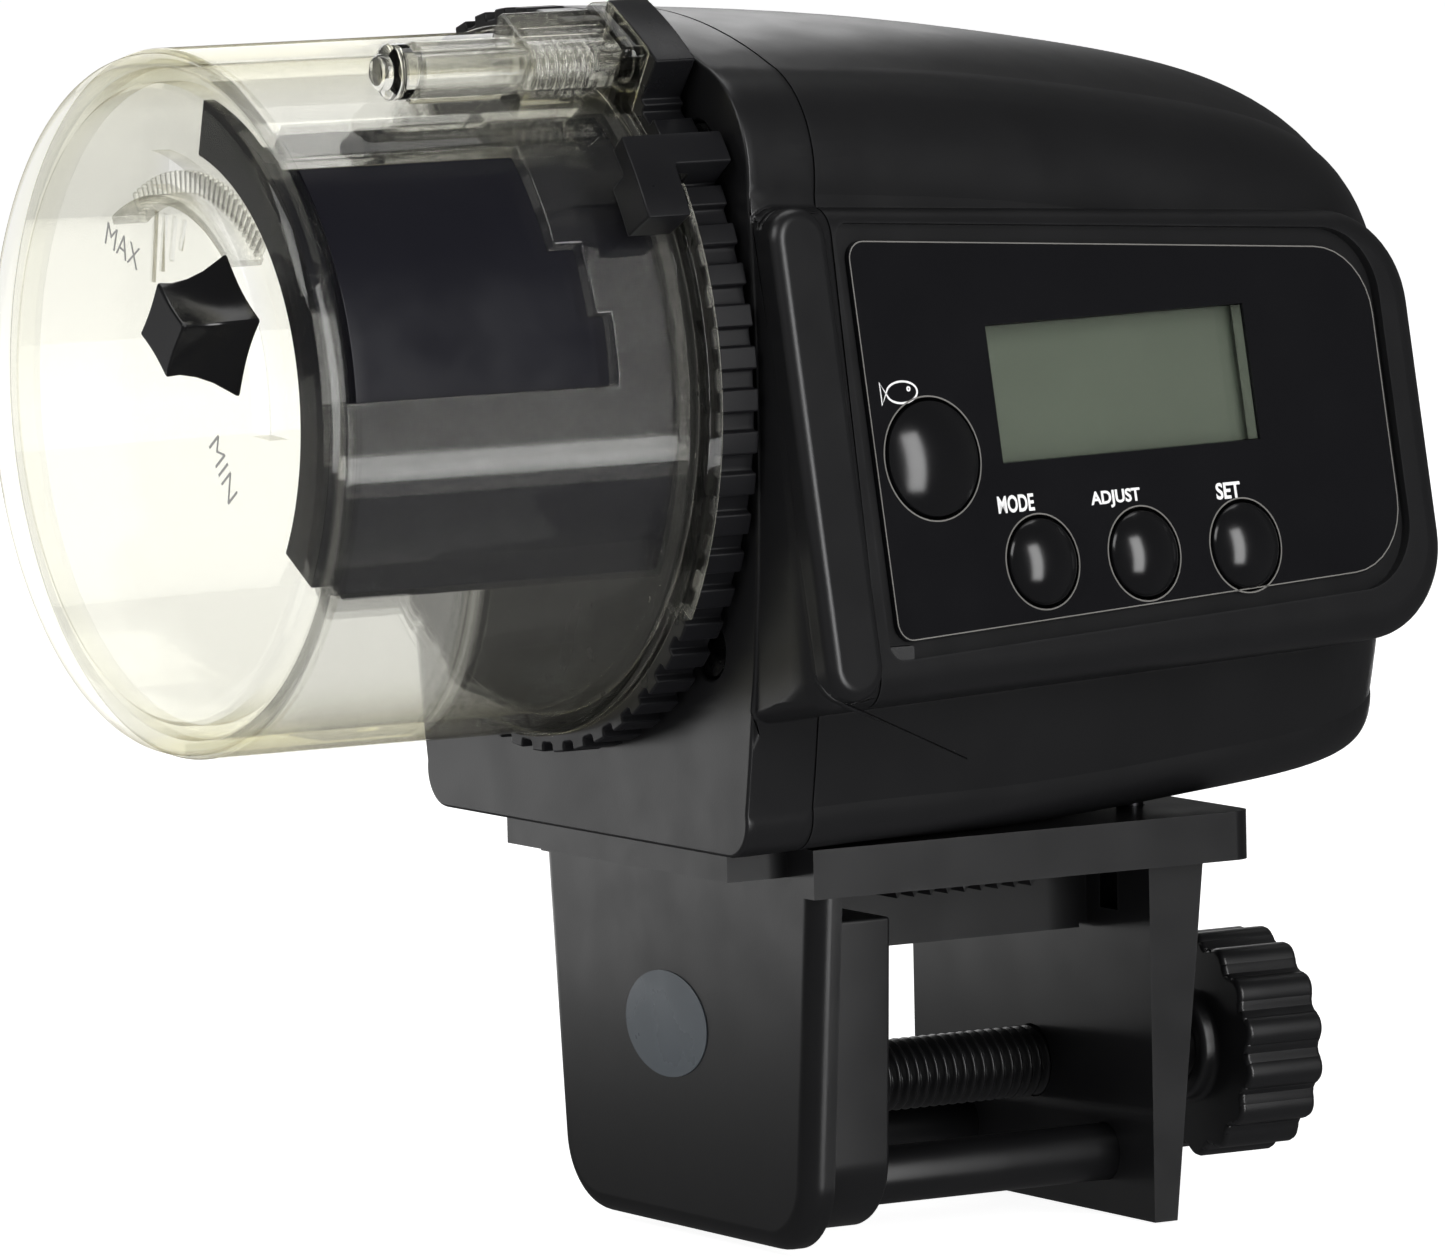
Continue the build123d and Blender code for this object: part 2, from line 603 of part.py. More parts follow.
recess = panel_prism(panel_area(0.0, -0.7, 61.9), -3.0, RECESS_DEPTH)
lcd_hole = panel_rect(*LCD_CENTRE, *LCD_SIZE, -1.0, PANEL_WALL_DEPTH + 0.5)
button_holes = []
for (u, v), r in BUTTONS.values():
    button_holes.append(panel_disc(u, v, r + BUTTON_GAP, -1.0, PANEL_WALL_DEPTH + 0.5))
PCB_POSTS = [(6.4, 11.0), (51.5, 9.5), (24.4, -15.8), (52.5, -13.0)]
pcb_posts = [panel_disc(u, v, 1.8, PANEL_WALL_DEPTH - 0.6, PCB_DEPTH) for u, v in PCB_POSTS]
post_holes = [panel_disc(u, v, 0.8, PCB_DEPTH - 5.0, PCB_DEPTH + 1) for u, v in PCB_POSTS]
BASE_SCREWS = [(64.5, 13.5), (64.5, -13.5), (92.0, 13.5), (92.0, -13.5)]


def upright(r, z0, z1, x, y):
    """A cylinder along Z."""
    return Pos(x, y, (z0 + z1) / 2) * Cylinder(r, z1 - z0, mode=Mode.PRIVATE)


base_bosses = [upright(2.6, BODY_BOTTOM + 1.6, -35.4, x, y) for x, y in BASE_SCREWS]
base_holes = [upright(1.25, -42, -36.4, x, y) for x, y in BASE_SCREWS]
casing = (outer_body + pod_outer + pillar) - (inner_body + pod_inner)
casing = casing - recess - lcd_hole
for hole in button_holes:
    casing = casing - hole
left_side = block(40, SEAM_X, -60, 60, -60, 60)
right_side = block(SEAM_X, 140, -60, 60, -60, 60)


def shell_boss(y, z, x0, x1):
    """A screw boss on a web that reaches the casing's wall."""
    reach = 29.6 if y > 0 else -38.0
    low, high = sorted((y, reach))
    boss = disc(2.8, x0, x1, y, z) + block(x0, x1, low, high, z - 0.7, z + 0.7)
    return boss & (outer_body + pod_outer)


with BuildPart() as front_shell:
    add(casing & left_side)
    for y, z in BOSSES:
        add(shell_boss(y, z, 44.0, SEAM_X))
    add(disc(7.0, 42, 46), mode=Mode.SUBTRACT)
    for y, z in BOSSES:
        add(disc(2.7, 42, 44.9, y, z), mode=Mode.SUBTRACT)
        add(disc(1.5, 42, 52, y, z), mode=Mode.SUBTRACT)
finish(front_shell.part, "front_shell")

door_far = 40.0
door_opening = block(DOOR[0] - DOOR_GAP, DOOR[1] + DOOR_GAP, 21.0, door_far, DOOR[2] - DOOR_GAP, DOOR[3] + DOOR_GAP)
door_block = block(DOOR[0], DOOR[1], 21.0, door_far, DOOR[2], DOOR[3])
grip_ribs = [block(104.0 + 1.6 * i, 104.8 + 1.6 * i, 20.0, door_far, -25.0, -14.0) for i in range(4)]
door_skin = body_solid(0.5, OUTER)

with BuildPart() as main_housing:
    add(casing & right_side)
    for y, z in BOSSES:
        add(shell_boss(y, z, SEAM_X, 54.5))
    for post in pcb_posts:
        add(post & (outer_body + pod_outer))
    for boss in base_bosses:
        add(boss)
    add(door_opening, mode=Mode.SUBTRACT)
    for y, z in BOSSES:
        add(disc(1.2, 50, 56, y, z), mode=Mode.SUBTRACT)
    for hole in post_holes + base_holes:
        add(hole, mode=Mode.SUBTRACT)
finish(main_housing.part, "main_housing")

with BuildPart() as battery_door:
    add(casing & door_block)
    for rib in grip_ribs:
        add(rib - door_skin, mode=Mode.SUBTRACT)
finish(battery_door.part, "battery_door")

with BuildPart() as shell_screws:
    for y, z in BOSSES:
        add(disc(2.4, 43.3, 44.9, y, z))
        add(disc(1.2, 44.9, 53.5, y, z))
finish(shell_screws.part, "shell_screws")

# ---------------------------------------------------------------- panel, display, buttons, board
overlay_holes = [panel_disc(u, v, r + BUTTON_GAP, -1, 2) for (u, v), r in BUTTONS.values()]
with BuildPart() as panel_overlay:
    add(panel_prism(panel_area(1.6, 0.9, 61.3), RECESS_DEPTH - 0.5, RECESS_DEPTH))
    add(lcd_hole, mode=Mode.SUBTRACT)
    for hole in overlay_holes:
        add(hole, mode=Mode.SUBTRACT)
finish(panel_overlay.part, "panel_overlay")

with BuildPart() as lcd_window:
    add(panel_rect(*LCD_CENTRE, LCD_SIZE[0] - 0.2, LCD_SIZE[1] - 0.2, 0.8, PANEL_WALL_DEPTH))
    add(panel_rect(*LCD_CENTRE, 32.8, 14.6, PANEL_WALL_DEPTH, PANEL_WALL_DEPTH + 0.8))
finish(lcd_window.part, "lcd_window")

with BuildPart() as lcd_module:
    add(panel_rect(*LCD_CENTRE, 33.6, 16.6, PANEL_WALL_DEPTH + 1.0, PCB_DEPTH))
finish(lcd_module.part, "lcd_module")

for name, ((u, v), r) in BUTTONS.items():
    dome_r = (r * r + 1.5 * 1.5) / 3.0
    tip = panel_plane(-1.5 + dome_r).location
    dome = (tip * Pos(u, v, 0)) * Sphere(dome_r, mode=Mode.PRIVATE) & panel_disc(u, v, r, -2.0, 0.0)
    with BuildPart() as button:
        add(panel_disc(u, v, r, 0.0, PANEL_WALL_DEPTH + 0.2))
        add(dome)
        add(panel_disc(u, v, r + 0.9, PANEL_WALL_DEPTH + 0.05, PANEL_WALL_DEPTH + 0.9))
        add(panel_disc(u, v, 1.5, PANEL_WALL_DEPTH + 0.9, 5.6))
    finish(button.part, f"{name}_button")

with BuildPart() as tact_switches:
    for (u, v), r in BUTTONS.values():
        add(panel_rect(u, v, 6.0, 6.0, 6.9, PCB_DEPTH))
        add(panel_disc(u, v, 1.6, 6.5, 7.0))
finish(tact_switches.part, "tact_switches")

with BuildPart() as main_pcb:
    add(panel_rect(30.4, -1.8, 53.0, 30.4, PCB_DEPTH, PCB_DEPTH + PCB_THICK))
    for u, v in PCB_POSTS:
        add(panel_disc(u, v, 1.0, PCB_DEPTH - 1, PCB_DEPTH + 2), mode=Mode.SUBTRACT)
finish(main_pcb.part, "main_pcb")

with BuildPart() as pcb_screws:
    for u, v in PCB_POSTS:
        add(panel_disc(u, v, 0.8, PCB_DEPTH - 4.5, PCB_DEPTH + PCB_THICK))
        add(panel_disc(u, v, 1.8, PCB_DEPTH + PCB_THICK, PCB_DEPTH + PCB_THICK + 1.0))
finish(pcb_screws.part, "pcb_screws")

back = PCB_DEPTH + PCB_THICK
with BuildPart() as pcb_components:
    add(panel_rect(32.0, 1.0, 10.0, 10.0, back, back + 1.6))
    add(panel_rect(44.0, 4.0, 8.0, 3.2, back, back + 2.6))
    add(panel_disc(20.0, 4.0, 2.6, back, back + 6.5))
    add(panel_disc(20.0, -4.0, 2.0, back, back + 5.0))
finish(pcb_components.part, "pcb_components")

# ---------------------------------------------------------------- battery tray
tx0, tx1, ty0, ty1, tz0, tz1 = TRAY
with BuildPart() as battery_tray:
    add(block(*TRAY))
    add(block(tx0 + 0.8, tx1 - 0.8, ty0 + 0.8, ty1 + 1, tz0 + 0.8, tz1 - 0.8), mode=Mode.SUBTRACT)
finish(battery_tray.part, "battery_tray")

battery_x1 = BATTERY_X0 + BATTERY_LEN
for number, (z, plus_right) in enumerate(zip(BATTERY_Z, (True, False)), start=1):
    with BuildPart() as battery:
        if plus_right:
            add(disc(BATTERY_R, BATTERY_X0, battery_x1 - 1.2, BATTERY_Y, z))
            add(disc(2.6, battery_x1 - 1.2, battery_x1 - 0.2, BATTERY_Y, z))
        else:
            add(disc(BATTERY_R, BATTERY_X0 + 1.0, battery_x1 - 0.2, BATTERY_Y, z))
            add(disc(2.6, BATTERY_X0, BATTERY_X0 + 1.0, BATTERY_Y, z))
    finish(battery.part, f"battery_{number}")

with BuildPart() as battery_contacts:
    add(block(tx0 + 0.8, tx0 + 1.2, 6.6, 18.2, BATTERY_Z[0] - 5, BATTERY_Z[1] + 5))
    for z in BATTERY_Z:
        add(block(tx1 - 1.0, tx1 - 0.8, 6.6, 18.2, z - 5, z + 5))
finish(battery_contacts.part, "battery_contacts")

CONTACT_WIRE_R = 0.3
contact_len = BATTERY_X0 - (tx0 + 1.2) - 2 * CONTACT_WIRE_R - 0.1
contact_helix = Helix(pitch=contact_len / 2.5, height=contact_len, radius=3.4)
contact_profile = Plane(contact_helix @ 0, z_dir=contact_helix % 0) * Circle(CONTACT_WIRE_R)
contact_coil = Part(sweep(contact_profile, path=contact_helix, is_frenet=True).wrapped)
with BuildPart() as battery_springs:
    for z in BATTERY_Z:
        add(Pos(tx0 + 1.2 + CONTACT_WIRE_R, BATTERY_Y, z) * Rot(0, 90, 0) * contact_coil)
finish(battery_springs.part, "battery_springs")

# ---------------------------------------------------------------- clamp
beam = block(JAW_X0, BEAM_X1, -JAW_HALF_W, JAW_HALF_W, BEAM_BOTTOM, BEAM_TOP)
beam = beam.fillet(2.0, beam.edges().filter_by(Axis.Z).sort_by(Axis.X)[-2:])
tongue = block(46.2, JAW_X0 + 1, -19.4, 19.4, BEAM_BOTTOM + 1.6, BEAM_TOP)
fixed_jaw = push(jaw_face(JAW_X0, JAW_HALF_W, JAW_LOW_W, BEAM_BOTTOM, JAW_BOTTOM), JAW_X1 - JAW_X0)
jaw_outline = fixed_jaw.faces().sort_by(Axis.X)[0].edges().sort_by(Axis.Z)[:-1]
fixed_jaw = fixed_jaw.fillet(JAW_EDGE_R, jaw_outline)
plate_points = [(PLATE_X, BEAM_BOTTOM), (95.4, BEAM_BOTTOM), (92.0, -77.8), (PLATE_X, -77.8)]
plate_side = Face(Wire.make_polygon([Vector(x, -PLATE_HALF_W, z) for x, z in plate_points], close=True))
nut_plate = push(plate_side, 2 * PLATE_HALF_W, (0, 1, 0))
rail = block(JAW_X1 - 0.5, PLATE_X + 1, -RAIL_HALF_W, RAIL_HALF_W, RAIL_BOTTOM, BEAM_BOTTOM + 0.5)
seat_pad = block(*SEAT_X, -RAIL_HALF_W, RAIL_HALF_W, RIM_SEAT[2], RAIL_BOTTOM + 0.5)
nut_boss = disc(6.2, PLATE_X + 1, 98.4, 0, SCREW_Z)
teeth = []
for i in range(9):
    x = 62.0 + 1.75 * i
    tooth = [(x, BEAM_BOTTOM + 0.2), (x + 1.3, BEAM_BOTTOM + 0.2), (x + 0.4, BEAM_BOTTOM - 0.9)]
    tooth_face = Face(Wire.make_polygon([Vector(a, -21.5, c) for a, c in tooth], close=True))
    teeth.append(push(tooth_face, 4.0, (0, 1, 0)))

with BuildPart() as clamp_bracket:
    add(beam)
    add(tongue)
    add(fixed_jaw)
    add(nut_plate)
    add(rail)
    add(seat_pad)
    add(nut_boss)
    for tooth in teeth:
        add(tooth)
    add(disc(SCREW_R + FIT, 85, 100, 0, SCREW_Z), mode=Mode.SUBTRACT)
    for y in (-ROD_Y, ROD_Y):
        add(disc(ROD_R + FIT, 85, 98, y, ROD_Z), mode=Mode.SUBTRACT)
    for x, y in BASE_SCREWS:
        add(upright(1.4, -50, -40, x, y), mode=Mode.SUBTRACT)
        add(upright(2.8, -50, -43.2, x, y), mode=Mode.SUBTRACT)
finish(clamp_bracket.part, "clamp_bracket")

with BuildPart() as bracket_screws:
    for x, y in BASE_SCREWS:
        add(upright(1.25, -43.2, -36.6, x, y))
        add(upright(2.5, -45.0, -43.2, x, y))
finish(bracket_screws.part, "bracket_screws")

pad_face = jaw_face(MOVING_X0, 21.6, 20.4, -47.6, -76.0)
rim_face = jaw_face(MOVING_X0 + 2.0, 18.8, 17.6, -50.6, -73.4, JAW_CORNER_R - 2.6)
with BuildPart() as moving_jaw:
    add(push(pad_face, MOVING_X1 - MOVING_X0))
    add(push(rim_face, 10), mode=Mode.SUBTRACT)
    add(block(MOVING_X0, MOVING_X1, -12.4, 12.4, -55.0, -50.0))
    add(disc(6.6, MOVING_X0 + 1, MOVING_X1, 0, SCREW_Z))
    for y in (-ROD_Y, ROD_Y):
        add(disc(4.2, MOVING_X0 + 1, MOVING_X1, y, ROD_Z) & push(pad_face, MOVING_X1 - MOVING_X0))
    add(block(50, 70, -RAIL_HALF_W - 0.3, RAIL_HALF_W + 0.3, RIM_SEAT[2] - 0.3, -40), mode=Mode.SUBTRACT)
    add(disc(4.8, MOVING_X0 + 2.0, MOVING_X0 + 3.4, 0, SCREW_Z), mode=Mode.SUBTRACT)
    add(disc(2.2 + FIT, MOVING_X0 + 3.0, 64, 0, SCREW_Z), mode=Mode.SUBTRACT)
    for y in (-ROD_Y, ROD_Y):
        add(disc(ROD_R, MOVING_X0 + 2.0, 64, y, ROD_Z), mode=Mode.SUBTRACT)
finish(moving_jaw.part, "moving_jaw")

with BuildPart() as guide_rods:
    for y in (-ROD_Y, ROD_Y):
        add(disc(ROD_R, MOVING_X0 + 2.0, 92.6, y, ROD_Z))
finish(guide_rods.part, "guide_rods")

with BuildPart() as clamp_screw:
    add(disc(2.2, MOVING_X0 + 2.1, MOVING_X1 + 0.1, 0, SCREW_Z))
    add(disc(SCREW_R, MOVING_X1 + 0.1, 111.6, 0, SCREW_Z))
finish(clamp_screw.part, "clamp_screw")

with BuildPart() as screw_clip:
    add(tube(4.2, 2.2, MOVING_X0 + 2.3, MOVING_X0 + 3.2, 0, SCREW_Z))
finish(screw_clip.part, "screw_clip")

with BuildSketch(Plane.YZ.offset(CLAMP_KNOB_X)) as knob_outline:
    with Locations((0, SCREW_Z)):
        Circle(CLAMP_KNOB_R - 0.9)
        with PolarLocations(CLAMP_KNOB_R - 1.6, 15):
            Circle(1.6)

with BuildPart() as clamp_knob:
    extrude(to_extrude=knob_outline.sketch, amount=CLAMP_KNOB_LEN)
    add(disc(5.0, CLAMP_KNOB_X - 1.6, CLAMP_KNOB_X + 1, 0, SCREW_Z))
    add(disc(SCREW_R, 100, 111.6, 0, SCREW_Z), mode=Mode.SUBTRACT)
finish(clamp_knob.part, "clamp_knob")

with BuildSketch(Plane.YZ.offset(JAW_X0 - 0.1)) as sticker_outline:
    with Locations((2.0, -58.8)):
        Ellipse(7.1, 4.8)
with BuildPart() as inspection_sticker:
    extrude(to_extrude=sticker_outline.sketch, amount=0.1)
finish(inspection_sticker.part, "inspection_sticker")
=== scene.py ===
"""Looks of an automatic fish feeder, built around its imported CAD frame.

Shapes are drawn in millimetres in the drum's own coordinates: X from the end cap's face along the drum's
axis towards the body, Y and Z from that axis, angles from the panel side (-Y) up towards +Z. at() turns
such a point into the frame's metres.
"""
import json
import math
from math import cos, pi, radians, sin

import bmesh
import bpy
import numpy as np
from mathutils import Matrix, Vector


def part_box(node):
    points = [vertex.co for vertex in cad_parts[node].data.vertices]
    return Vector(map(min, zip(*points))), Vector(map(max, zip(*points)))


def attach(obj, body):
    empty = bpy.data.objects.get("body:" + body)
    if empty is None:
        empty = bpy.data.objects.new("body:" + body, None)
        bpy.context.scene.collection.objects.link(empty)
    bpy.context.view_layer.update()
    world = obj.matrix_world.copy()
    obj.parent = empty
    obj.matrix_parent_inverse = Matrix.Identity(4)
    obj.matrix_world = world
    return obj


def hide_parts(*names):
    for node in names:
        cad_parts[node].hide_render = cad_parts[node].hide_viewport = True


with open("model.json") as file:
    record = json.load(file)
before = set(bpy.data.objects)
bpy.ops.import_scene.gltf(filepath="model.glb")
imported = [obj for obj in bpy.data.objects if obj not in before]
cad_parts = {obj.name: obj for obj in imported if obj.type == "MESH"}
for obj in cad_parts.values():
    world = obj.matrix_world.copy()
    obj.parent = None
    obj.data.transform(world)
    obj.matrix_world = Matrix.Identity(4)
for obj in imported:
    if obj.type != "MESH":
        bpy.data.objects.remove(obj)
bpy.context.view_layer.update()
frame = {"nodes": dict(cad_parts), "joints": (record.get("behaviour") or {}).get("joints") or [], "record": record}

# ---------------------------------------------------------------- places, from the frame
MM = 0.001
JOINTS = {j["name"]: j for j in frame["joints"]}
AXIS_Z = JOINTS["drum_spin"]["pos_m"][2]
FACE_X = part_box("drum_end_cap")[0].x
FLOOR_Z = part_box("clamp_bracket")[0].z


def at(x, y, z):
    """A point in the drum's millimetres, in the frame's metres."""
    return Vector((FACE_X + x * MM, y * MM, AXIS_Z + z * MM))


def polar(r, angle, x=0.0):
    """A point at a radius and angle on the drum."""
    return at(x, -r * cos(radians(angle)), r * sin(radians(angle)))


# ---------------------------------------------------------------- materials
def nodes_of(name):
    """A new material, its nodes, its links and its main shader."""
    m = bpy.data.materials.new(name)
    m.use_nodes = True
    tree = m.node_tree
    return m, tree.nodes, tree.links, tree.nodes["Principled BSDF"]


def noise(nodes, links, size_mm, detail=4.0, stretch=None):
    """Noise with features about size_mm across, fixed to the piece."""
    coords = nodes.new("ShaderNodeTexCoord")
    texture = nodes.new("ShaderNodeTexNoise")
    texture.inputs["Scale"].default_value = 1.0 / (size_mm * MM)
    texture.inputs["Detail"].default_value = detail
    if stretch:
        mapping = nodes.new("ShaderNodeMapping")
        mapping.inputs["Scale"].default_value = stretch
        links.new(coords.outputs["Object"], mapping.inputs["Vector"])
        links.new(mapping.outputs["Vector"], texture.inputs["Vector"])
    else:
        links.new(coords.outputs["Object"], texture.inputs["Vector"])
    return texture.outputs["Fac"]


def spread(nodes, links, value, low, high, start=0.3, end=0.7):
    """A 0..1 value mapped onto low..high."""
    node = nodes.new("ShaderNodeMapRange")
    node.inputs["From Min"].default_value = start
    node.inputs["From Max"].default_value = end
    node.inputs["To Min"].default_value = low
    node.inputs["To Max"].default_value = high
    links.new(value, node.inputs["Value"])
    return node.outputs["Result"]


def tint(nodes, links, share, one, two):
    """A colour that goes from one to two with share."""
    ramp = nodes.new("ShaderNodeValToRGB")
    ramp.color_ramp.elements[0].color = (*one, 1)
    ramp.color_ramp.elements[1].color = (*two, 1)
    links.new(share, ramp.inputs["Fac"])
    return ramp.outputs["Color"]


def edge_share(nodes, links, radius_mm):
    """How close the surface is to a sharp edge, 0 on flats."""
    bevel = nodes.new("ShaderNodeBevel")
    bevel.samples = 4
    bevel.inputs["Radius"].default_value = radius_mm * MM
    geometry = nodes.new("ShaderNodeNewGeometry")
    dot = nodes.new("ShaderNodeVectorMath")
    dot.operation = "DOT_PRODUCT"
    links.new(bevel.outputs["Normal"], dot.inputs[0])
    links.new(geometry.outputs["Normal"], dot.inputs[1])
    return spread(nodes, links, dot.outputs["Value"], 1.0, 0.0, 0.80, 0.99)


def product(nodes, links, one, two):
    """Two values multiplied."""
    node = nodes.new("ShaderNodeMath")
    node.operation = "MULTIPLY"
    links.new(one, node.inputs[0])
    links.new(two, node.inputs[1])
    return node.outputs["Value"]


def emboss(nodes, links, shader, height, strength, depth_mm):
    """Height relief on the shader's surface."""
    relief = nodes.new("ShaderNodeBump")
    relief.inputs["Strength"].default_value = strength
    relief.inputs["Distance"].default_value = depth_mm * MM
    links.new(height, relief.inputs["Height"])
    links.new(relief.outputs["Normal"], shader.inputs["Normal"])


def plastic(name, colour, rough, grain_mm, bump, relief_mm, vary, wear=0.0, coat=0.0, shine=0.5):
    """Moulded plastic with a fine grain, uneven gloss and paler worn edges."""
    m, nodes, links, shader = nodes_of(name)
    broad = noise(nodes, links, 14.0, 3.0)
    base = tint(nodes, links, broad, tuple(c * 0.85 for c in colour), tuple(c * 1.18 for c in colour))
    if wear:
        mix = nodes.new("ShaderNodeMixRGB")
        worn = tuple(min(1.0, c * 1.5 + 0.006) for c in colour)
        mix.inputs["Color2"].default_value = (*worn, 1)
        patches = spread(nodes, links, noise(nodes, links, 2.5), 0.2, 1.0)
        links.new(product(nodes, links, edge_share(nodes, links, wear), patches), mix.inputs["Fac"])
        links.new(base, mix.inputs["Color1"])
        base = mix.outputs["Color"]
    links.new(base, shader.inputs["Base Color"])
    cloud = noise(nodes, links, 6.0)
    links.new(spread(nodes, links, cloud, rough - vary, rough + vary), shader.inputs["Roughness"])
    shader.inputs["Specular IOR Level"].default_value = shine
    shader.inputs["Coat Weight"].default_value = coat
    shader.inputs["Coat Roughness"].default_value = 0.06
    emboss(nodes, links, shader, noise(nodes, links, grain_mm, 2.0), bump, relief_mm)
    return m


def metal(name, colour, rough):
    """Metal with fine drawn or rolled lines and uneven gloss."""
    m, nodes, links, shader = nodes_of(name)
    broad = noise(nodes, links, 5.0)
    links.new(tint(nodes, links, broad, tuple(c * 0.86 for c in colour), colour), shader.inputs["Base Color"])
    shader.inputs["Metallic"].default_value = 1.0
    cloud = noise(nodes, links, 2.0)
    links.new(spread(nodes, links, cloud, rough * 0.7, rough * 1.3), shader.inputs["Roughness"])
    drawn_lines = noise(nodes, links, 0.12, 3.0, (0.05, 1, 1))
    emboss(nodes, links, shader, drawn_lines, 0.15, 0.01)
    return m


def mixed(nodes, links, share, one, two):
    """Two surfaces mixed by a fixed or a linked share of the second."""
    mix = nodes.new("ShaderNodeMixShader")
    if isinstance(share, float):
        mix.inputs["Fac"].default_value = share
    else:
        links.new(share, mix.inputs["Fac"])
    links.new(one, mix.inputs[1])
    links.new(two, mix.inputs[2])
    return mix.outputs["Shader"]


CLEAR_IOR, CLEAR_WARMTH, CLEAR_DENSITY = 1.5, (0.90, 0.86, 0.45), 34.0
FILM_FRONT, FILM_EDGE_ON = (0.995, 0.995, 0.99), (0.74, 0.72, 0.63)


def thin_film(nodes, links):
    """Plain see-through film, warmer and shinier where it is seen edge-on."""
    facing = nodes.new("ShaderNodeLayerWeight")
    facing.inputs["Blend"].default_value = 0.5
    edge = spread(nodes, links, facing.outputs["Facing"], 0.0, 1.0, 0.55, 0.98)
    film = nodes.new("ShaderNodeBsdfTransparent")
    links.new(tint(nodes, links, edge, FILM_FRONT, FILM_EDGE_ON), film.inputs["Color"])
    gloss = nodes.new("ShaderNodeBsdfGlossy")
    gloss.inputs["Roughness"].default_value = 0.04
    share = spread(nodes, links, facing.outputs["Facing"], 0.025, 0.26, 0.6, 1.0)
    return mixed(nodes, links, share, film.outputs["BSDF"], gloss.outputs["BSDF"])


def clear_plastic(name, colour, rough=0.03, plain=0.0):
    """Clear moulded plastic with faint flow lines and a few scuffs; plain is its share of thin film."""
    m, nodes, links, shader = nodes_of(name)
    shader.inputs["Base Color"].default_value = (*colour, 1)
    shader.inputs["Transmission Weight"].default_value = 1.0
    shader.inputs["IOR"].default_value = CLEAR_IOR
    scuffs = noise(nodes, links, 3.0, 6.0, (1, 1, 1))
    links.new(spread(nodes, links, scuffs, rough, rough + 0.07, 0.55, 0.75), shader.inputs["Roughness"])
    flow_lines = noise(nodes, links, 9.0, 2.0, (0.3, 1, 1))
    emboss(nodes, links, shader, flow_lines, 0.02, 0.05)
    surface = shader.outputs["BSDF"]
    if plain:
        surface = mixed(nodes, links, plain, surface, thin_film(nodes, links))
    path = nodes.new("ShaderNodeLightPath")
    through = nodes.new("ShaderNodeBsdfTransparent")
    through.inputs["Color"].default_value = (*(c * 0.93 for c in colour), 1)
    surface = mixed(nodes, links, path.outputs["Is Shadow Ray"], surface, through.outputs["BSDF"])
    output = nodes["Material Output"]
    links.new(surface, output.inputs["Surface"])
    absorb = nodes.new("ShaderNodeVolumeAbsorption")
    absorb.inputs["Color"].default_value = (*CLEAR_WARMTH, 1)
    absorb.inputs["Density"].default_value = CLEAR_DENSITY
    links.new(absorb.outputs["Volume"], output.inputs["Volume"])
    return m


BLACK_ABS = plastic("black_abs", (0.0070, 0.0070, 0.0076), 0.34, 0.17, 0.32, 0.02, 0.03, wear=0.45)
BLACK_CLAMP = plastic("black_clamp", (0.0060, 0.0060, 0.0065), 0.32, 0.2, 0.22, 0.018, 0.03, wear=0.4)
BLACK_GLOSS = plastic("black_gloss", (0.0050, 0.0050, 0.0056), 0.19, 0.6, 0.04, 0.01, 0.03)
BLACK_SHUTTER = plastic("black_shutter", (0.0085, 0.0085, 0.0115), 0.2, 0.5, 0.08, 0.012, 0.05, shine=0.16)
BLACK_TABLE = plastic("black_table", (0.0075, 0.0075, 0.0085), 0.32, 0.2, 0.2, 0.015, 0.06, 0.3, shine=0.22)
OVERLAY = plastic("overlay_film", (0.0050, 0.0050, 0.0060), 0.17, 0.3, 0.06, 0.006, 0.04)
# Pale grey for the thin strips round the overlay's edges: a painted highlight, not the film's own colour.
EDGE_HIGHLIGHT_PAINT = plastic("painted_edge_highlight", (0.16, 0.155, 0.145), 0.4, 0.1, 0.3, 0.01, 0.1)
MOULD_MARK = plastic("mould_mark", (0.30, 0.30, 0.29), 0.35, 0.3, 0.1, 0.004, 0.05)
CLEAR = clear_plastic("clear_drum", (0.985, 0.982, 0.955), plain=0.62)
CLEAR_CAP = clear_plastic("clear_cap", (0.99, 0.988, 0.965), plain=0.93)
CLEAR_PIN = clear_plastic("clear_pin", (0.97, 0.97, 0.955), 0.02)
LCD_PANE = clear_plastic("lcd_pane", (0.93, 0.95, 0.93), 0.05)
LCD_FACE = plastic("lcd_face", (0.078, 0.092, 0.078), 0.42, 0.12, 0.02, 0.004, 0.05)
STEEL = metal("steel", (0.62, 0.62, 0.63), 0.28)
BLACK_STEEL = metal("black_steel", (0.045, 0.045, 0.048), 0.35)
SPRING = metal("spring_wire", (0.86, 0.86, 0.85), 0.16)
BRASS = metal("brass", (0.78, 0.60, 0.28), 0.3)
WHITE_POM = plastic("white_pom", (0.78, 0.78, 0.74), 0.42, 0.3, 0.1, 0.01, 0.05)
GREY = plastic("grey_plastic", (0.12, 0.12, 0.125), 0.45, 0.25, 0.2, 0.015, 0.06)
BOARD = plastic("board_green", (0.02, 0.16, 0.06), 0.28, 0.4, 0.15, 0.01, 0.06, coat=0.3)
CHIP = plastic("chip_black", (0.03, 0.03, 0.03), 0.5, 0.12, 0.2, 0.01, 0.06)
CELL = metal("cell_sleeve", (0.22, 0.25, 0.3), 0.3)
# The silver foil label as diffuse grey-blue plastic: its grey is a painted reflection standing in for the foil's
# shine.
LABEL_PAINTED_REFLECTION = plastic("silver_label_painted_reflection", (0.055, 0.066, 0.078), 0.3, 0.4, 0.15, 0.006, 0.08)
WHITE_INK = plastic("white_ink", (0.80, 0.80, 0.80), 0.55, 0.08, 0.3, 0.006, 0.05)

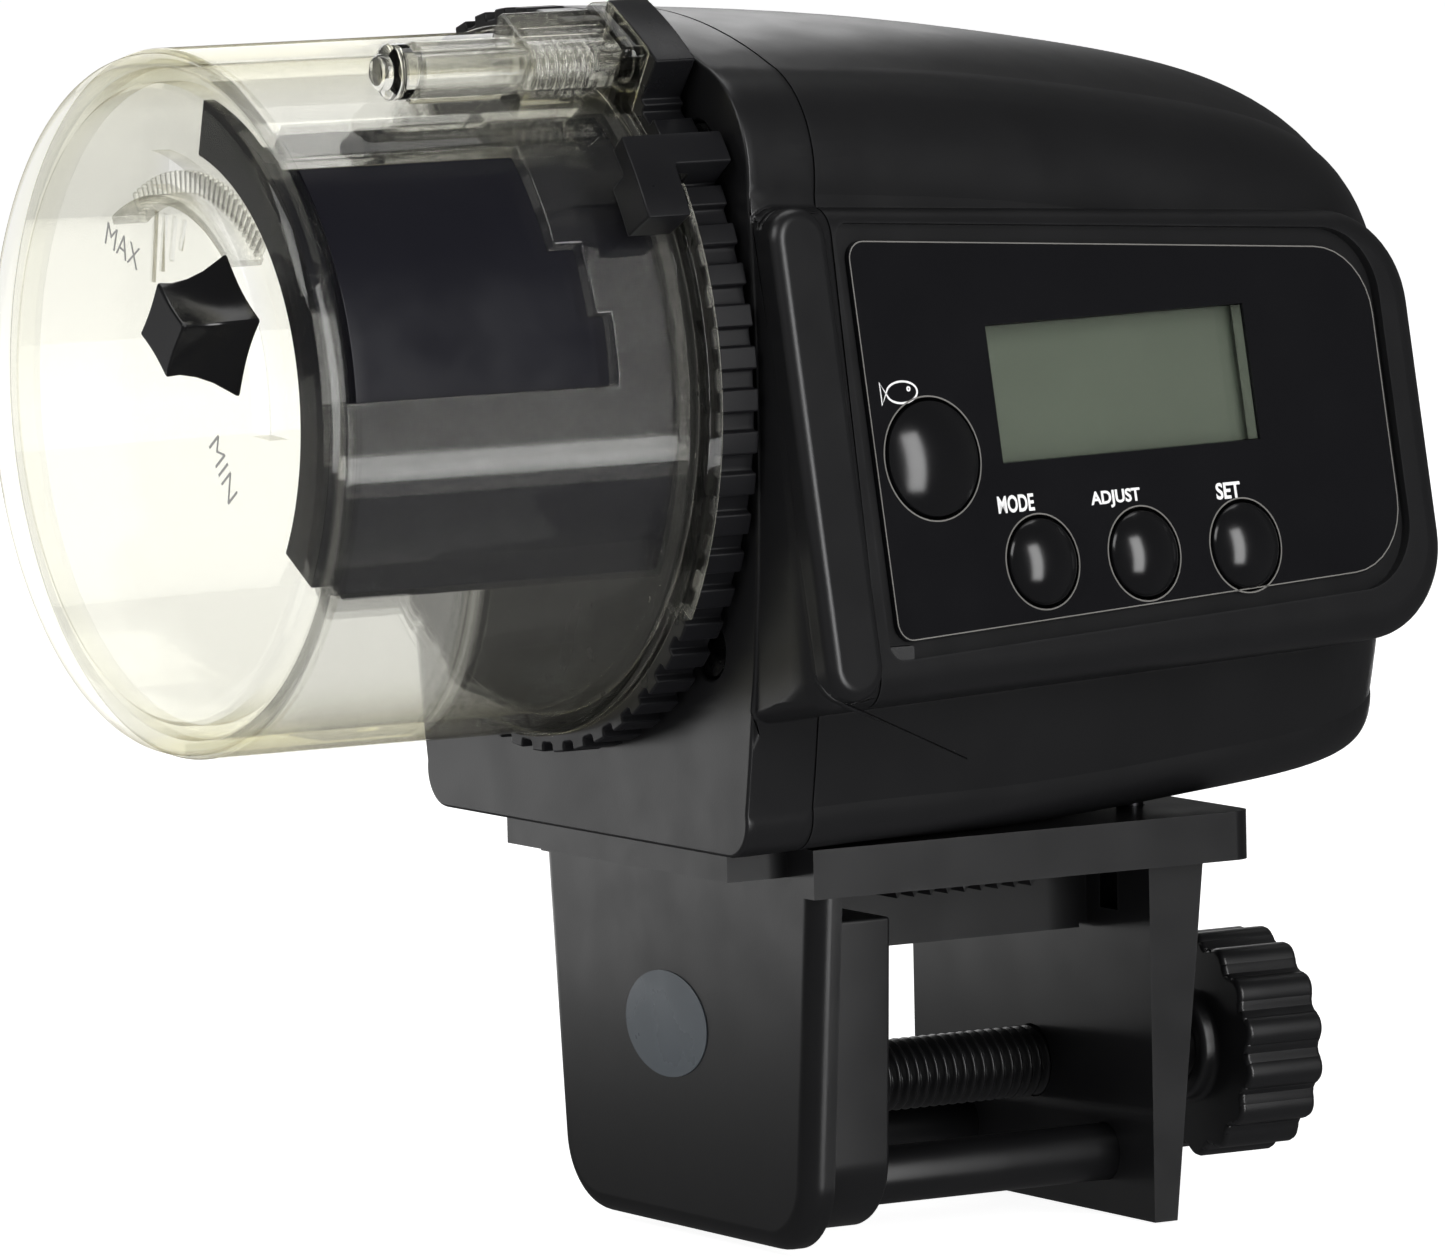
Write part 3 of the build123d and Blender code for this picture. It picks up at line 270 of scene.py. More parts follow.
SLOT_LOOKS = {
    "clear_drum": CLEAR, "black_shutter": BLACK_SHUTTER, "black_gloss": BLACK_GLOSS, "black_abs": BLACK_ABS,
    "black_overlay": OVERLAY, "lcd_clear": LCD_PANE, "lcd_grey": LCD_FACE, "spring_steel": SPRING,
    "steel": STEEL, "brass": BRASS, "white_pom": WHITE_POM, "magnet": STEEL, "motor_steel": STEEL,
    "grey_plastic": GREY, "switch_black": CHIP, "pcb_green": BOARD, "chip_black": CHIP, "battery_skin": CELL,
    "nickel": STEEL, "sticker": LABEL_PAINTED_REFLECTION,
}


def dress(node, material):
    """One material all over a CAD node."""
    mesh = frame["nodes"][node].data
    mesh.materials.clear()
    mesh.materials.append(material)


for row in frame["record"]["subparts"]:
    dress(row["node"], SLOT_LOOKS[row["material_slot"]])
for node in ("clamp_bracket", "moving_jaw", "guide_rods"):
    dress(node, BLACK_CLAMP)
dress("turntable", BLACK_TABLE)
dress("bracket_screws", BLACK_STEEL)


def round_cad_edges(node, width_mm, angle, clamped):
    """Round a CAD node's sharp edges with modifiers, after joining its facets into whole faces."""
    obj = frame["nodes"][node]
    for polygon in obj.data.polygons:
        polygon.use_smooth = True
    bpy.context.view_layer.objects.active = obj
    obj.select_set(True)
    bpy.ops.mesh.customdata_custom_splitnormals_clear()
    obj.select_set(False)
    weld = obj.modifiers.new("weld", "WELD")
    weld.merge_threshold = 0.001 * MM
    whole = obj.modifiers.new("whole_faces", "DECIMATE")
    whole.decimate_type = "DISSOLVE"
    whole.angle_limit = radians(0.08)
    bevel = obj.modifiers.new("round", "BEVEL")
    bevel.width = width_mm * MM
    bevel.segments = 2
    bevel.limit_method = "ANGLE"
    bevel.angle_limit = radians(angle)
    bevel.use_clamp_overlap = clamped
    bevel.miter_outer = "MITER_ARC"
    normals = obj.modifiers.new("normals", "WEIGHTED_NORMAL")
    normals.keep_sharp = False


# CAD node: width in mm, the least angle that is rounded, whether overlaps are clamped
ROUNDED = {
    "front_shell": (0.3, 38, False), "battery_door": (0.3, 38, False), "clamp_bracket": (0.3, 62, True),
    "moving_jaw": (0.35, 38, False), "turntable": (0.2, 38, False), "clamp_knob": (0.5, 38, False),
}
for node, (width, angle, clamped) in ROUNDED.items():
    round_cad_edges(node, width, angle, clamped)


# ---------------------------------------------------------------- mesh helpers
def piece(name, verts, faces, material, sharp=38.0):
    """A new mesh object with smooth shading split at its sharp edges."""
    mesh = bpy.data.meshes.new(name)
    mesh.from_pydata([tuple(v) for v in verts], [], faces)
    mesh.validate()
    bm = bmesh.new()
    bm.from_mesh(mesh)
    bmesh.ops.remove_doubles(bm, verts=bm.verts, dist=1e-7)
    bmesh.ops.recalc_face_normals(bm, faces=bm.faces)
    bm.to_mesh(mesh)
    bm.free()
    obj = bpy.data.objects.new(name, mesh)
    bpy.context.scene.collection.objects.link(obj)
    mesh.materials.append(material)
    shade(obj, sharp)
    return obj


def shade(obj, sharp=38.0):
    """Smooth shading, split where faces meet at more than sharp degrees."""
    for polygon in obj.data.polygons:
        polygon.use_smooth = True
    obj.data.set_sharp_from_angle(angle=radians(sharp))


def mesh_of(obj):
    """The mesh that the object shows, with its modifiers or its curve worked out."""
    bpy.context.view_layer.update()
    return bpy.data.meshes.new_from_object(obj.evaluated_get(bpy.context.evaluated_depsgraph_get()))


def settle(obj, sharp=38.0):
    """Apply the object's modifiers to its mesh."""
    mesh = mesh_of(obj)
    obj.modifiers.clear()
    obj.data = mesh
    shade(obj, sharp)
    return obj


def soften(obj, width_mm, segments=2, angle=35.0):
    """Round the object's sharp edges."""
    bevel = obj.modifiers.new("round", "BEVEL")
    bevel.width = width_mm * MM
    bevel.segments = segments
    bevel.limit_method = "ANGLE"
    bevel.angle_limit = radians(angle)
    bevel.harden_normals = False
    return settle(obj, 30.0)


def combine(obj, other, how):
    """Join or cut obj with other, which is used up."""
    cut = obj.modifiers.new("cut", "BOOLEAN")
    cut.operation = how
    cut.solver = "EXACT"
    cut.object = other
    settle(obj)
    bpy.data.objects.remove(other)
    return obj


def even_normals(obj):
    """Flat faces keep their own normal next to rounded edges."""
    weighted = obj.modifiers.new("normals", "WEIGHTED_NORMAL")
    weighted.keep_sharp = True
    return obj


def ring_blocks(name, blocks, material, cuts=(), step=2.5):
    """Blocks about the drum's axis, each (r0, r1, angle0, angle1, x0, x1), as one mesh less the cuts."""
    every = [*blocks, *cuts]
    radii = sorted({v for b in every for v in b[0:2]})
    xs = sorted({v for b in every for v in b[4:6]})
    marks = sorted({round(v % 360.0, 6) for b in every for v in b[2:4]})
    angles = []
    for i, start in enumerate(marks):
        end = marks[(i + 1) % len(marks)]
        span = (end - start) % 360.0 or 360.0
        count = math.ceil(span / step)
        angles += [start + span * k / count for k in range(count)]
    count = len(angles)

    def holds(r, a, x, group):
        for r0, r1, a0, a1, x0, x1 in group:
            if r0 < r < r1 and x0 < x < x1 and (a1 - a0 >= 360 or (a - a0) % 360.0 < a1 - a0):
                return True
        return False

    filled = np.zeros((len(radii) + 1, count, len(xs) + 1), bool)
    for j in range(count):
        nearby = angles[(j + 1) % count]
        a = angles[j] + ((nearby - angles[j]) % 360.0 or 360.0) / 2
        for i in range(len(radii) - 1):
            r = (radii[i] + radii[i + 1]) / 2
            for k in range(len(xs) - 1):
                x = (xs[k] + xs[k + 1]) / 2
                filled[i + 1, j, k + 1] = holds(r, a, x, blocks) and not holds(r, a, x, cuts)
    verts, index, faces = [], {}, []

    def corner(i, j, k):
        key = (i, 0 if radii[i] == 0 else j % count, k)
        if key not in index:
            index[key] = len(verts)
            verts.append(polar(radii[i], angles[j % count], xs[k]))
        return index[key]

    def face(*keys):
        ring = []
        for key in keys:
            v = corner(*key)
            if v not in ring:
                ring.append(v)
        if len(ring) > 2:
            faces.append(ring)

    for i in range(len(radii)):
        for j in range(count):
            for k in range(len(xs)):
                here = filled[i + 1, j, k + 1]
                if here != filled[i, j, k + 1] and k < len(xs) - 1:
                    face((i, j, k), (i, j + 1, k), (i, j + 1, k + 1), (i, j, k + 1))
                if here != filled[i + 1, j, k] and i < len(radii) - 1:
                    face((i, j, k), (i + 1, j, k), (i + 1, j + 1, k), (i, j + 1, k))
                if here != filled[i + 1, j - 1, k + 1] and i < len(radii) - 1 and k < len(xs) - 1:
                    face((i, j, k), (i + 1, j, k), (i + 1, j, k + 1), (i, j, k + 1))
    return piece(name, verts, faces, material)


def loft(name, rings, material, sharp=38.0, closed=False):
    """A closed mesh through rings of equally many points; closed joins the last ring to the first."""
    count = len(rings[0])
    verts = [p for ring in rings for p in ring]
    faces = []
    last = len(rings) if closed else len(rings) - 1
    for i in range(last):
        a, b = i * count, ((i + 1) % len(rings)) * count
        for j in range(count):
            k = (j + 1) % count
            faces.append((a + j, a + k, b + k, b + j))
    if not closed:
        faces.append(tuple(range(count)))
        faces.append(tuple(range(len(verts) - count, len(verts))))
    return piece(name, verts, faces, material, sharp)


def turned(name, profile, spot, material, count=64, sharp=38.0, closed=False):
    """A shape turned about an axis, from its (along, r) profile; spot(along, a, b) gives a point."""
    turns = [2 * pi * k / count for k in range(count)]
    rings = [[spot(x, r * cos(t), r * sin(t)) for t in turns] for x, r in profile]
    return loft(name, rings, material, sharp, closed)


def lathe(name, profile, y, z, material, count=64, sharp=38.0, closed=False):
    """A shape turned about an axis along X, from its (x, r) profile."""
    return turned(name, profile, lambda x, a, b: at(x, y + a, z + b), material, count, sharp, closed)


def rounded(x0, x1, r, edge, steps=4):
    """Profile of a rod from x0 to x1 with rounded ends."""
    turns = [pi / 2 * k / steps for k in range(steps + 1)]
    left = [(x0 + edge - edge * cos(t), r - edge + edge * sin(t)) for t in turns]
    return left + [(x0 + x1 - x, q) for x, q in reversed(left)]


def box_piece(name, corner_of, size, material):
    """A box given by its limits (a0, a1, b0, b1, c0, c1) in any axes that corner_of turns into points."""
    a0, a1, b0, b1, c0, c1 = size
    verts = [corner_of(a, b, c) for a in (a0, a1) for b in (b0, b1) for c in (c0, c1)]
    faces = [(0, 1, 3, 2), (4, 6, 7, 5), (0, 4, 5, 1), (2, 3, 7, 6), (0, 2, 6, 4), (1, 5, 7, 3)]
    return piece(name, verts, faces, material)


def rounded_outline(corners, steps=6):
    """Points around a polygon given as (a, b, radius), with an arc at each corner."""
    ring = []
    for i, (a, b, radius) in enumerate(corners):
        here = Vector((a, b))
        before = (Vector(corners[i - 1][:2]) - here).normalized()
        after = (Vector(corners[(i + 1) % len(corners)][:2]) - here).normalized()
        half = before.angle(after) / 2
        centre = here + (before + after).normalized() * (radius / sin(half))
        first = here + before * (radius / math.tan(half)) - centre
        last = here + after * (radius / math.tan(half)) - centre
        start = math.atan2(first.y, first.x)
        sweep = (math.atan2(last.y, last.x) - start + pi) % (2 * pi) - pi
        for k in range(steps + 1):
            t = start + sweep * k / steps
            ring.append((centre.x + radius * cos(t), centre.y + radius * sin(t)))
    return ring


def ribbon(name, path, width, spot, low, high, material, closed=False):
    """A flat strip along a path, from depth low up to depth high."""
    rings = []
    for i, (a, b) in enumerate(path):
        before = path[i - 1] if closed or i else path[i]
        after = path[(i + 1) % len(path)] if closed or i < len(path) - 1 else path[i]
        along = Vector((after[0] - before[0], after[1] - before[1])).normalized()
        p, q = -along.y * width / 2, along.x * width / 2
        left, right = (a + p, b + q), (a - p, b - q)
        rings.append([spot(*left, low), spot(*right, low), spot(*right, high), spot(*left, high)])
    return loft(name, rings, material, 30.0, closed)


def lettering(name, text, size, spot, low, high, material, weight=0.0):
    """Plain capitals filling size = (width, height), centred on spot's origin, between two depths."""
    curve = bpy.data.curves.new(name, "FONT")
    curve.body = text
    curve.extrude = 0.5
    curve.offset = weight
    curve.resolution_u = 4
    obj = bpy.data.objects.new(name + "_curve", curve)
    bpy.context.scene.collection.objects.link(obj)
    mesh = mesh_of(obj)
    bpy.data.objects.remove(obj)
    xs, ys = [v.co.x for v in mesh.vertices], [v.co.y for v in mesh.vertices]
    verts = []
    for v in mesh.vertices:
        a = ((v.co.x - min(xs)) / (max(xs) - min(xs)) - 0.5) * size[0]
        b = ((v.co.y - min(ys)) / (max(ys) - min(ys)) - 0.5) * size[1]
        verts.append(spot(a, b, high if v.co.z > 0 else low))
    faces = [tuple(p.vertices) for p in mesh.polygons]
    bpy.data.meshes.remove(mesh)
    return piece(name, verts, faces, material, 30.0)


def merge(name, parts):
    """Several pieces as one object."""
    mesh = parts[0].data
    bm = bmesh.new()
    for part in parts:
        bm.from_mesh(part.data)
    bm.to_mesh(mesh)
    bm.free()
    for part in parts[1:]:
        bpy.data.objects.remove(part)
    parts[0].name = name
    shade(parts[0], 30.0)
    return parts[0]


def place(obj, body, slot, *nodes):
    """Put a finished piece on its body and hide the CAD nodes it stands for; slot is not used."""
    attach(obj, body)
    if nodes:
        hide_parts(*nodes)
    return obj


# ---------------------------------------------------------------- food drum
DRUM_R, BORE_R = 31.0, 29.4
FLANGE_R = 33.7
PIN_ANGLE, PIN_AXIS_R = radians(58.5), 34.0
PIN_Y, PIN_Z = -PIN_AXIS_R * cos(PIN_ANGLE), PIN_AXIS_R * sin(PIN_ANGLE)
FULL = (0.0, 360.0)


def make_drum_shell():
    """Clear shell with its end ring, two bayonet tabs, outlet window and the lock pin's housing."""
    blocks = [(BORE_R, DRUM_R, *FULL, 2.8, 38.4), (BORE_R, 31.5, *FULL, 36.8, 38.4)]
    blocks += [(BORE_R, FLANGE_R, a, a + 69, 36.8, 38.4) for a in (-35, 145)]
    window = [(28, 34, 3.5, 15, 2, 29.5), (28, 34, 15, 27, 2, 28.0), (28, 34, 27, 46, 2, 25.4)]
    shell = ring_blocks("drum_clear_shell", blocks, CLEAR, window, 2.0)
    soften(shell, 0.28, 3)

    def corner_of(x, t, r):
        """Along the drum, along its rim, and outwards, about the lock pin's axis."""
        out = PIN_AXIS_R + r
        c, s = cos(PIN_ANGLE), sin(PIN_ANGLE)
        return at(x, -out * c + t * s, out * s + t * c)

    block = soften(box_piece("lock_housing", corner_of, (26.6, 36.0, -3.4, 3.4, -3.6, 3.4), CLEAR), 0.5, 3)
    plate = soften(box_piece("lock_plate", corner_of, (35.6, 38.4, -4.2, 4.2, -4.0, 3.8), CLEAR), 0.9, 4)
    guide = lathe("lock_guide", rounded(17.2, 27.2, 2.55, 0.35), PIN_Y, PIN_Z, CLEAR, 48)
    web = box_piece("lock_web", corner_of, (17.6, 27.0, -0.7, 0.7, -3.6, -1.0), CLEAR)
    for part in (block, plate, guide, web):
        combine(shell, part, "UNION")
    combine(shell, lathe("bore", [(10, 1.75), (45, 1.75)], PIN_Y, PIN_Z, CLEAR, 40), "DIFFERENCE")
    combine(shell, lathe("room", [(28.0, 2.5), (35.6, 2.5)], PIN_Y, PIN_Z, CLEAR, 40), "DIFFERENCE")
    shade(shell, 30.0)
    place(even_normals(shell), "drum", "clear_drum", "drum_shell")


def make_end_cap():
    """Clear end disc with a rolled rim, a spigot, the knob's curved slot and the toothed detent ring."""
    edge = [(2.1 - 2.1 * sin(pi / 2 * k / 7), 30.6 - 2.1 * (1 - cos(pi / 2 * k / 7))) for k in range(8)]
    profile = [(2.75, 30.6), *edge, (0.0, 27.0), (0.0, 0.0), (1.8, 0.0)]
    profile += [(1.8, 27.6), (2.2, 28.0), (4.4, 28.1), (4.4, 29.3), (2.75, 29.3)]
    cap = lathe("drum_end_disc", profile, 0, 0, CLEAR_CAP, 180, closed=True)
    slot = ring_blocks("slot", [(19.5, 22.5, -4, 84, -1, 2.4)], CLEAR_CAP, step=2.0)
    combine(cap, slot, "DIFFERENCE")
    shade(cap, 30.0)
    place(even_normals(cap), "drum", "clear_drum", "drum_end_cap")
    teeth = [(17.5, 18.3, 46, 119, 1.85, 5.2)]
    teeth += [(18.2, 20.3, 47 + 2.6 * i, 48.3 + 2.6 * i, 4.4, 5.2) for i in range(28)]
    rack = soften(ring_blocks("detent_ring", teeth, CLEAR, step=1.3), 0.1, 2)
    place(rack, "drum", "clear_drum")


def make_shutter():
    """Black curved shutter with its web along the end disc."""
    wall, rim = (27.6, 29.0, -31, 56, 4.9, 36.4), (26.2, 27.8, -31, 56, 2.9, 6.4)
    web = (22.6, 27.6, -31, 76, 2.9, 4.0)
    shutter = ring_blocks("shutter_plate", [wall, rim, web], BLACK_SHUTTER, step=2.0)
    soften(shutter, 0.25, 2)
    place(even_normals(shutter), "shutter", "black_shutter", "shutter")


KNOB_R, KNOB_PLACE, KNOB_TILT = 19.0, radians(25.0), radians(8.0)
# x, half width along, half width across, how far the sides are hollowed
KNOB_STATIONS = [
    (-0.4, 5.2, 6.4, 0.12), (-1.4, 4.7, 5.8, 0.13), (-2.8, 4.0, 5.0, 0.14),
    (-4.4, 3.65, 4.4, 0.13), (-6.0, 3.8, 4.1, 0.10), (-7.4, 4.1, 4.2, 0.08),
]


def make_shutter_knob():
    """Finger knob: four hollow sides that narrow at the waist and flare again at the front."""
    centre_y, centre_z = -KNOB_R * cos(KNOB_PLACE), KNOB_R * sin(KNOB_PLACE)
    c_tilt, s_tilt = cos(KNOB_TILT), sin(KNOB_TILT)
    rings = []
    for x, along, across, hollow in KNOB_STATIONS:
        corners = [(along, 0), (0, across), (-along, 0), (0, -across)]
        ring = []
        for i, (a, b) in enumerate(corners):
            c, d = corners[(i + 1) % 4]
            for k in range(8):
                t = k / 8
                pull = 1 - hollow * 4 * t * (1 - t)
                p, q = (a + (c - a) * t) * pull, (b + (d - b) * t) * pull
                ring.append(at(x, centre_y + p * c_tilt + q * s_tilt, centre_z - p * s_tilt + q * c_tilt))
        rings.append(ring)
    knob = soften(loft("shutter_finger_knob", rings, BLACK_GLOSS, 30.0), 0.3, 3, 40.0)
    place(even_normals(knob), "shutter", "black_gloss", "shutter_knob")


def make_lock_pin():
    """Clear plunger with a domed button end and a collar that passes inside its spring."""
    tip = rounded(13.8, 14.9, 1.6, 0.5)[:5]
    head = [(14.7, 1.6), (14.8, 2.2), (15.0, 2.45), (16.6, 2.45), (16.8, 2.2), (16.9, 1.6)]
    collar = [(34.4, 1.6), (34.5, 1.75), (35.3, 1.75), (35.4, 1.6)]
    profile = [*tip, *head, *collar, (40.8, 1.6), (41.2, 1.2)]
    plunger = lathe("lock_plunger", profile, PIN_Y, PIN_Z, CLEAR_PIN, 40, 30.0)
    place(plunger, "lock_pin", "clear_drum", "lock_pin")


def make_lock_spring():
    """The wound spring in the lock pin's housing, at its rest length."""
    turns, wire, radius = 6.5, 0.24, 2.05
    start, end = 28.3, 34.2
    curve = bpy.data.curves.new("lock_coil", "CURVE")
    curve.dimensions = "3D"
    curve.bevel_depth = wire * MM
    curve.bevel_resolution = 3
    spline = curve.splines.new("POLY")
    steps = int(turns * 24)
    spline.points.add(steps)
    for k in range(steps + 1):
        t = k / steps
        turn = 2 * pi * turns * t
        y, z = PIN_Y + radius * cos(turn), PIN_Z + radius * sin(turn)
        spline.points[k].co = (*at(start + (end - start) * t, y, z), 1)
    obj = bpy.data.objects.new("lock_coil_curve", curve)
    bpy.context.scene.collection.objects.link(obj)
    mesh = mesh_of(obj)
    bpy.data.objects.remove(obj)
    coil = bpy.data.objects.new("lock_coil", mesh)
    bpy.context.scene.collection.objects.link(coil)
    mesh.materials.clear()
    mesh.materials.append(SPRING)
    shade(coil)
    place(coil, "drum", "spring_steel", "lock_spring")


def cap_spot(y, z, turn):
    """A place on the end disc's outer face, with text running along turn degrees as seen from outside."""
    c, s = cos(radians(turn)), sin(radians(turn))
    return lambda a, b, x: at(x, y - (a * c - b * s), z + a * s + b * c)


def make_cap_marks():
    """Raised MAX and MIN and the tapering bars between them on the end disc."""
    words = [("MAX", 6.2, cap_spot(3.4, 13.8, -20)), ("MIN", 5.8, cap_spot(-14.0, -4.6, -56))]
    for text, width, spot in words:
        word = lettering("cap_" + text.lower(), text, (width, 2.0), spot, 0.02, -0.04, MOULD_MARK, -0.016)
        place(word, "drum", "clear_drum")
    bars = []
    for i in range(4):
        y, low, high = -2.2 - 1.75 * i, 11.0 + 1.0 * i, 17.2 - 0.2 * i
        path = [(y, low), (y - 0.9, high)]
        bars.append(ribbon("bar", path, 0.75 - 0.08 * i, lambda a, b, x: at(x, a, b), 0.0, -0.2, CLEAR_CAP))
    place(merge("cap_scale_bars", bars), "drum", "clear_drum")


make_drum_shell()
make_end_cap()
make_cap_marks()
make_shutter()
make_shutter_knob()
make_lock_pin()
make_lock_spring()

# ---------------------------------------------------------------- panel
TURN, LEAN = radians(9.0), radians(10.0)
OUTWARD = Vector((sin(TURN) * cos(LEAN), -cos(TURN) * cos(LEAN), sin(LEAN)))
ACROSS = Vector((cos(TURN), sin(TURN), 0))
UPWARD = OUTWARD.cross(ACROSS)
PANEL_BASE = Vector((52.0, -35.2, -4.05))
FILM_DEPTH = 0.5
# Depths of the painted edge-highlight strips round the overlay.
EDGE_HIGHLIGHT_BAND = (FILM_DEPTH + 0.03, FILM_DEPTH - 0.03)
PRINT_BAND = (FILM_DEPTH + 0.02, FILM_DEPTH - 0.02)
DOME_RISE, DOME_STEPS = 1.5, 12
# along the panel, up it, radius
BUTTONS = {
    "feed": (7.4, -2.0, 5.1), "mode": (18.4, -11.9, 3.85),
    "adjust": (30.3, -12.1, 3.85), "set": (42.3, -12.3, 3.85),
}
# along the panel, up it, width, height
LABELS = {"MODE": (16.2, -6.6, 4.2, 1.55), "ADJUST": (27.8, -7.0, 5.8, 1.55), "SET": (41.1, -7.3, 2.9, 1.5)}


def panel(u, v, depth=0.0):
    """A point on the panel: along it, up it, and inwards."""
    return at(*(PANEL_BASE + u * ACROSS + v * UPWARD - depth * OUTWARD))


def make_buttons():
    """Domed buttons with a flange behind the panel and a stem towards the board."""
    for name, (u, v, r) in BUTTONS.items():
        dome = (r * r + DOME_RISE * DOME_RISE) / (2 * DOME_RISE)
        reach = math.asin(r / dome)
        turns = [reach * (1 - k / DOME_STEPS) for k in range(1, DOME_STEPS)]
        cap = [(0.35 - (dome * cos(t) - dome + DOME_RISE), dome * sin(t)) for t in turns]
        flange = [(3.9, 1.5), (3.9, r + 0.9), (3.05, r + 0.9), (3.05, r)]
        profile = [(5.6, 1.5), *flange, (0.5, r), (0.33, r - 0.05), *cap]
        spot = (lambda d, a, b, u=u, v=v: panel(u + a, v + b, d))
        button = turned(name + "_dome", profile, spot, BLACK_GLOSS, 72, 34.0)
        place(even_normals(button), name + "_button", "black_gloss", name + "_button")


def make_painted_edge_highlights():
    """Painted highlights: thin pale strips round the overlay's border and its button holes, standing for the light
    its cut edges catch.
    """
    border = rounded_outline([(1.0, -17.6, 1.6), (61.2, -15.5, 6.4), (61.2, 13.3, 6.4), (1.0, 17.5, 1.6)], 8)
    parts = [ribbon("edge", border, 0.11, panel, *EDGE_HIGHLIGHT_BAND, EDGE_HIGHLIGHT_PAINT, True)]
    turns = [2 * pi * k / 72 for k in range(72)]
    for u, v, r in BUTTONS.values():
        hole_r = r + 0.38
        circle = [(u + hole_r * cos(t), v + hole_r * sin(t)) for t in turns]
        parts.append(ribbon("edge", circle, 0.13, panel, *EDGE_HIGHLIGHT_BAND, EDGE_HIGHLIGHT_PAINT, True))
    place(merge("film_cut_edges", parts), "case", "black_overlay")


def make_labels():
    """White printed words over the small buttons and a plain fish outline over the large one."""
    for text, (u, v, width, height) in LABELS.items():
        spot = (lambda a, b, d, u=u, v=v: panel(u + a, v + b, d))
        word = lettering("label_" + text.lower(), text, (width, height), spot, *PRINT_BAND, WHITE_INK, 0.028)
        place(word, "case", "black_overlay")
    turns = [radians(-155 + 310 * k / 30) for k in range(31)]
    body = [(4.9 + 1.75 * cos(t), 4.0 + 0.95 * sin(t)) for t in turns]
    tail = [body[0], (2.5, 5.0), (2.5, 3.0), body[-1]]
    eye = [(5.7 + 0.16 * cos(pi * k / 5), 4.25 + 0.16 * sin(pi * k / 5)) for k in range(10)]
    parts = [ribbon("line", path, 0.18, panel, *PRINT_BAND, WHITE_INK) for path in (body, tail)]
    parts.append(ribbon("line", eye, 0.16, panel, *PRINT_BAND, WHITE_INK, True))
    place(merge("fish_outline", parts), "case", "black_overlay")


make_buttons()
make_painted_edge_highlights()
make_labels()

# ---------------------------------------------------------------- clamp
SCREW_Z, ROD_Y, ROD_Z, PITCH = -65.2, 12.0, -72.2, 1.0
NECK_R, ROOT_R, CREST_R, RUN_OUT = 2.2, 2.72, 3.28, 0.9


def make_clamp_screw():
    """Right-hand threaded screw from its neck in the moving jaw to the knob."""
    count, steps_per_turn = 36, 8
    start, end = 61.7, 111.6

    def ring_at(x, radii):
        turns = [2 * pi * k / count for k in range(count)]
        return [at(x, r * cos(t), SCREW_Z + r * sin(t)) for r, t in zip(radii, turns)]

    rings = [ring_at(x, [NECK_R] * count) for x in (57.6, 61.6)]
    total = int((end - start) / PITCH * steps_per_turn)
    for i in range(total + 1):
        x = start + (end - start) * i / total
        full = min(1.0, (x - start) / RUN_OUT, (end - x) / RUN_OUT)
        waves = [0.5 + 0.5 * cos(2 * pi * (x / PITCH - k / count)) for k in range(count)]
        rings.append(ring_at(x, [ROOT_R + (CREST_R - ROOT_R) * full * wave ** 0.8 for wave in waves]))
    place(loft("threaded_screw", rings, BLACK_CLAMP, 60.0), "clamp_screw", "black_abs", "clamp_screw")


def make_guide_rods():
    """Two round rods with rounded ends that ride with the moving jaw."""
    rods = [lathe("rod", rounded(57.5, 92.6, 2.6, 0.4), y, ROD_Z, BLACK_CLAMP, 64) for y in (-ROD_Y, ROD_Y)]
    place(merge("round_guide_rods", rods), "moving_jaw", "black_abs", "guide_rods")


make_clamp_screw()
make_guide_rods()

# ---------------------------------------------------------------- camera, light and floor
VIEW_AZIMUTH, VIEW_ELEVATION, ROLL = radians(30.69), radians(5.80), radians(-1.23)
CAMERA_PLACE = at(-487.3, -918.4, 85.0)
LENS_MM, SENSOR_MM = 298.96194, 36.0


def make_camera():
    """A long lens from the panel side, slightly above."""
    run = cos(VIEW_ELEVATION)
    away = Vector((sin(VIEW_AZIMUTH) * run, cos(VIEW_AZIMUTH) * run, -sin(VIEW_ELEVATION)))
    level = Vector((cos(VIEW_AZIMUTH), -sin(VIEW_AZIMUTH), 0))
    rise = level.cross(away)
    right = level * cos(ROLL) + rise * sin(ROLL)
    up = rise * cos(ROLL) - level * sin(ROLL)
    data = bpy.data.cameras.new("camera")
    data.sensor_width = SENSOR_MM
    data.lens = LENS_MM
    data.clip_start = 0.01
    data.clip_end = 50.0
    camera = bpy.data.objects.new("camera", data)
    camera.matrix_world = Matrix((
        (right.x, up.x, -away.x, CAMERA_PLACE.x),
        (right.y, up.y, -away.y, CAMERA_PLACE.y),
        (right.z, up.z, -away.z, CAMERA_PLACE.z),
        (0, 0, 0, 1),
    ))
    bpy.context.scene.collection.objects.link(camera)
    bpy.context.scene.camera = camera


def soft_light(name, place_m, size, watts, target=(0, 0, 0.02)):
    """A rectangular soft light that faces its target and is not seen itself."""
    data = bpy.data.lights.new(name, "AREA")
    data.shape = "RECTANGLE"
    data.size, data.size_y = size
    data.energy = watts
    lamp = bpy.data.objects.new(name, data)
    lamp.location = place_m
    lamp.visible_camera = False
    lamp.visible_transmission = False
    lamp.rotation_euler = (Vector(target) - Vector(place_m)).to_track_quat("-Z", "Y").to_euler()
    bpy.context.scene.collection.objects.link(lamp)
    return lamp


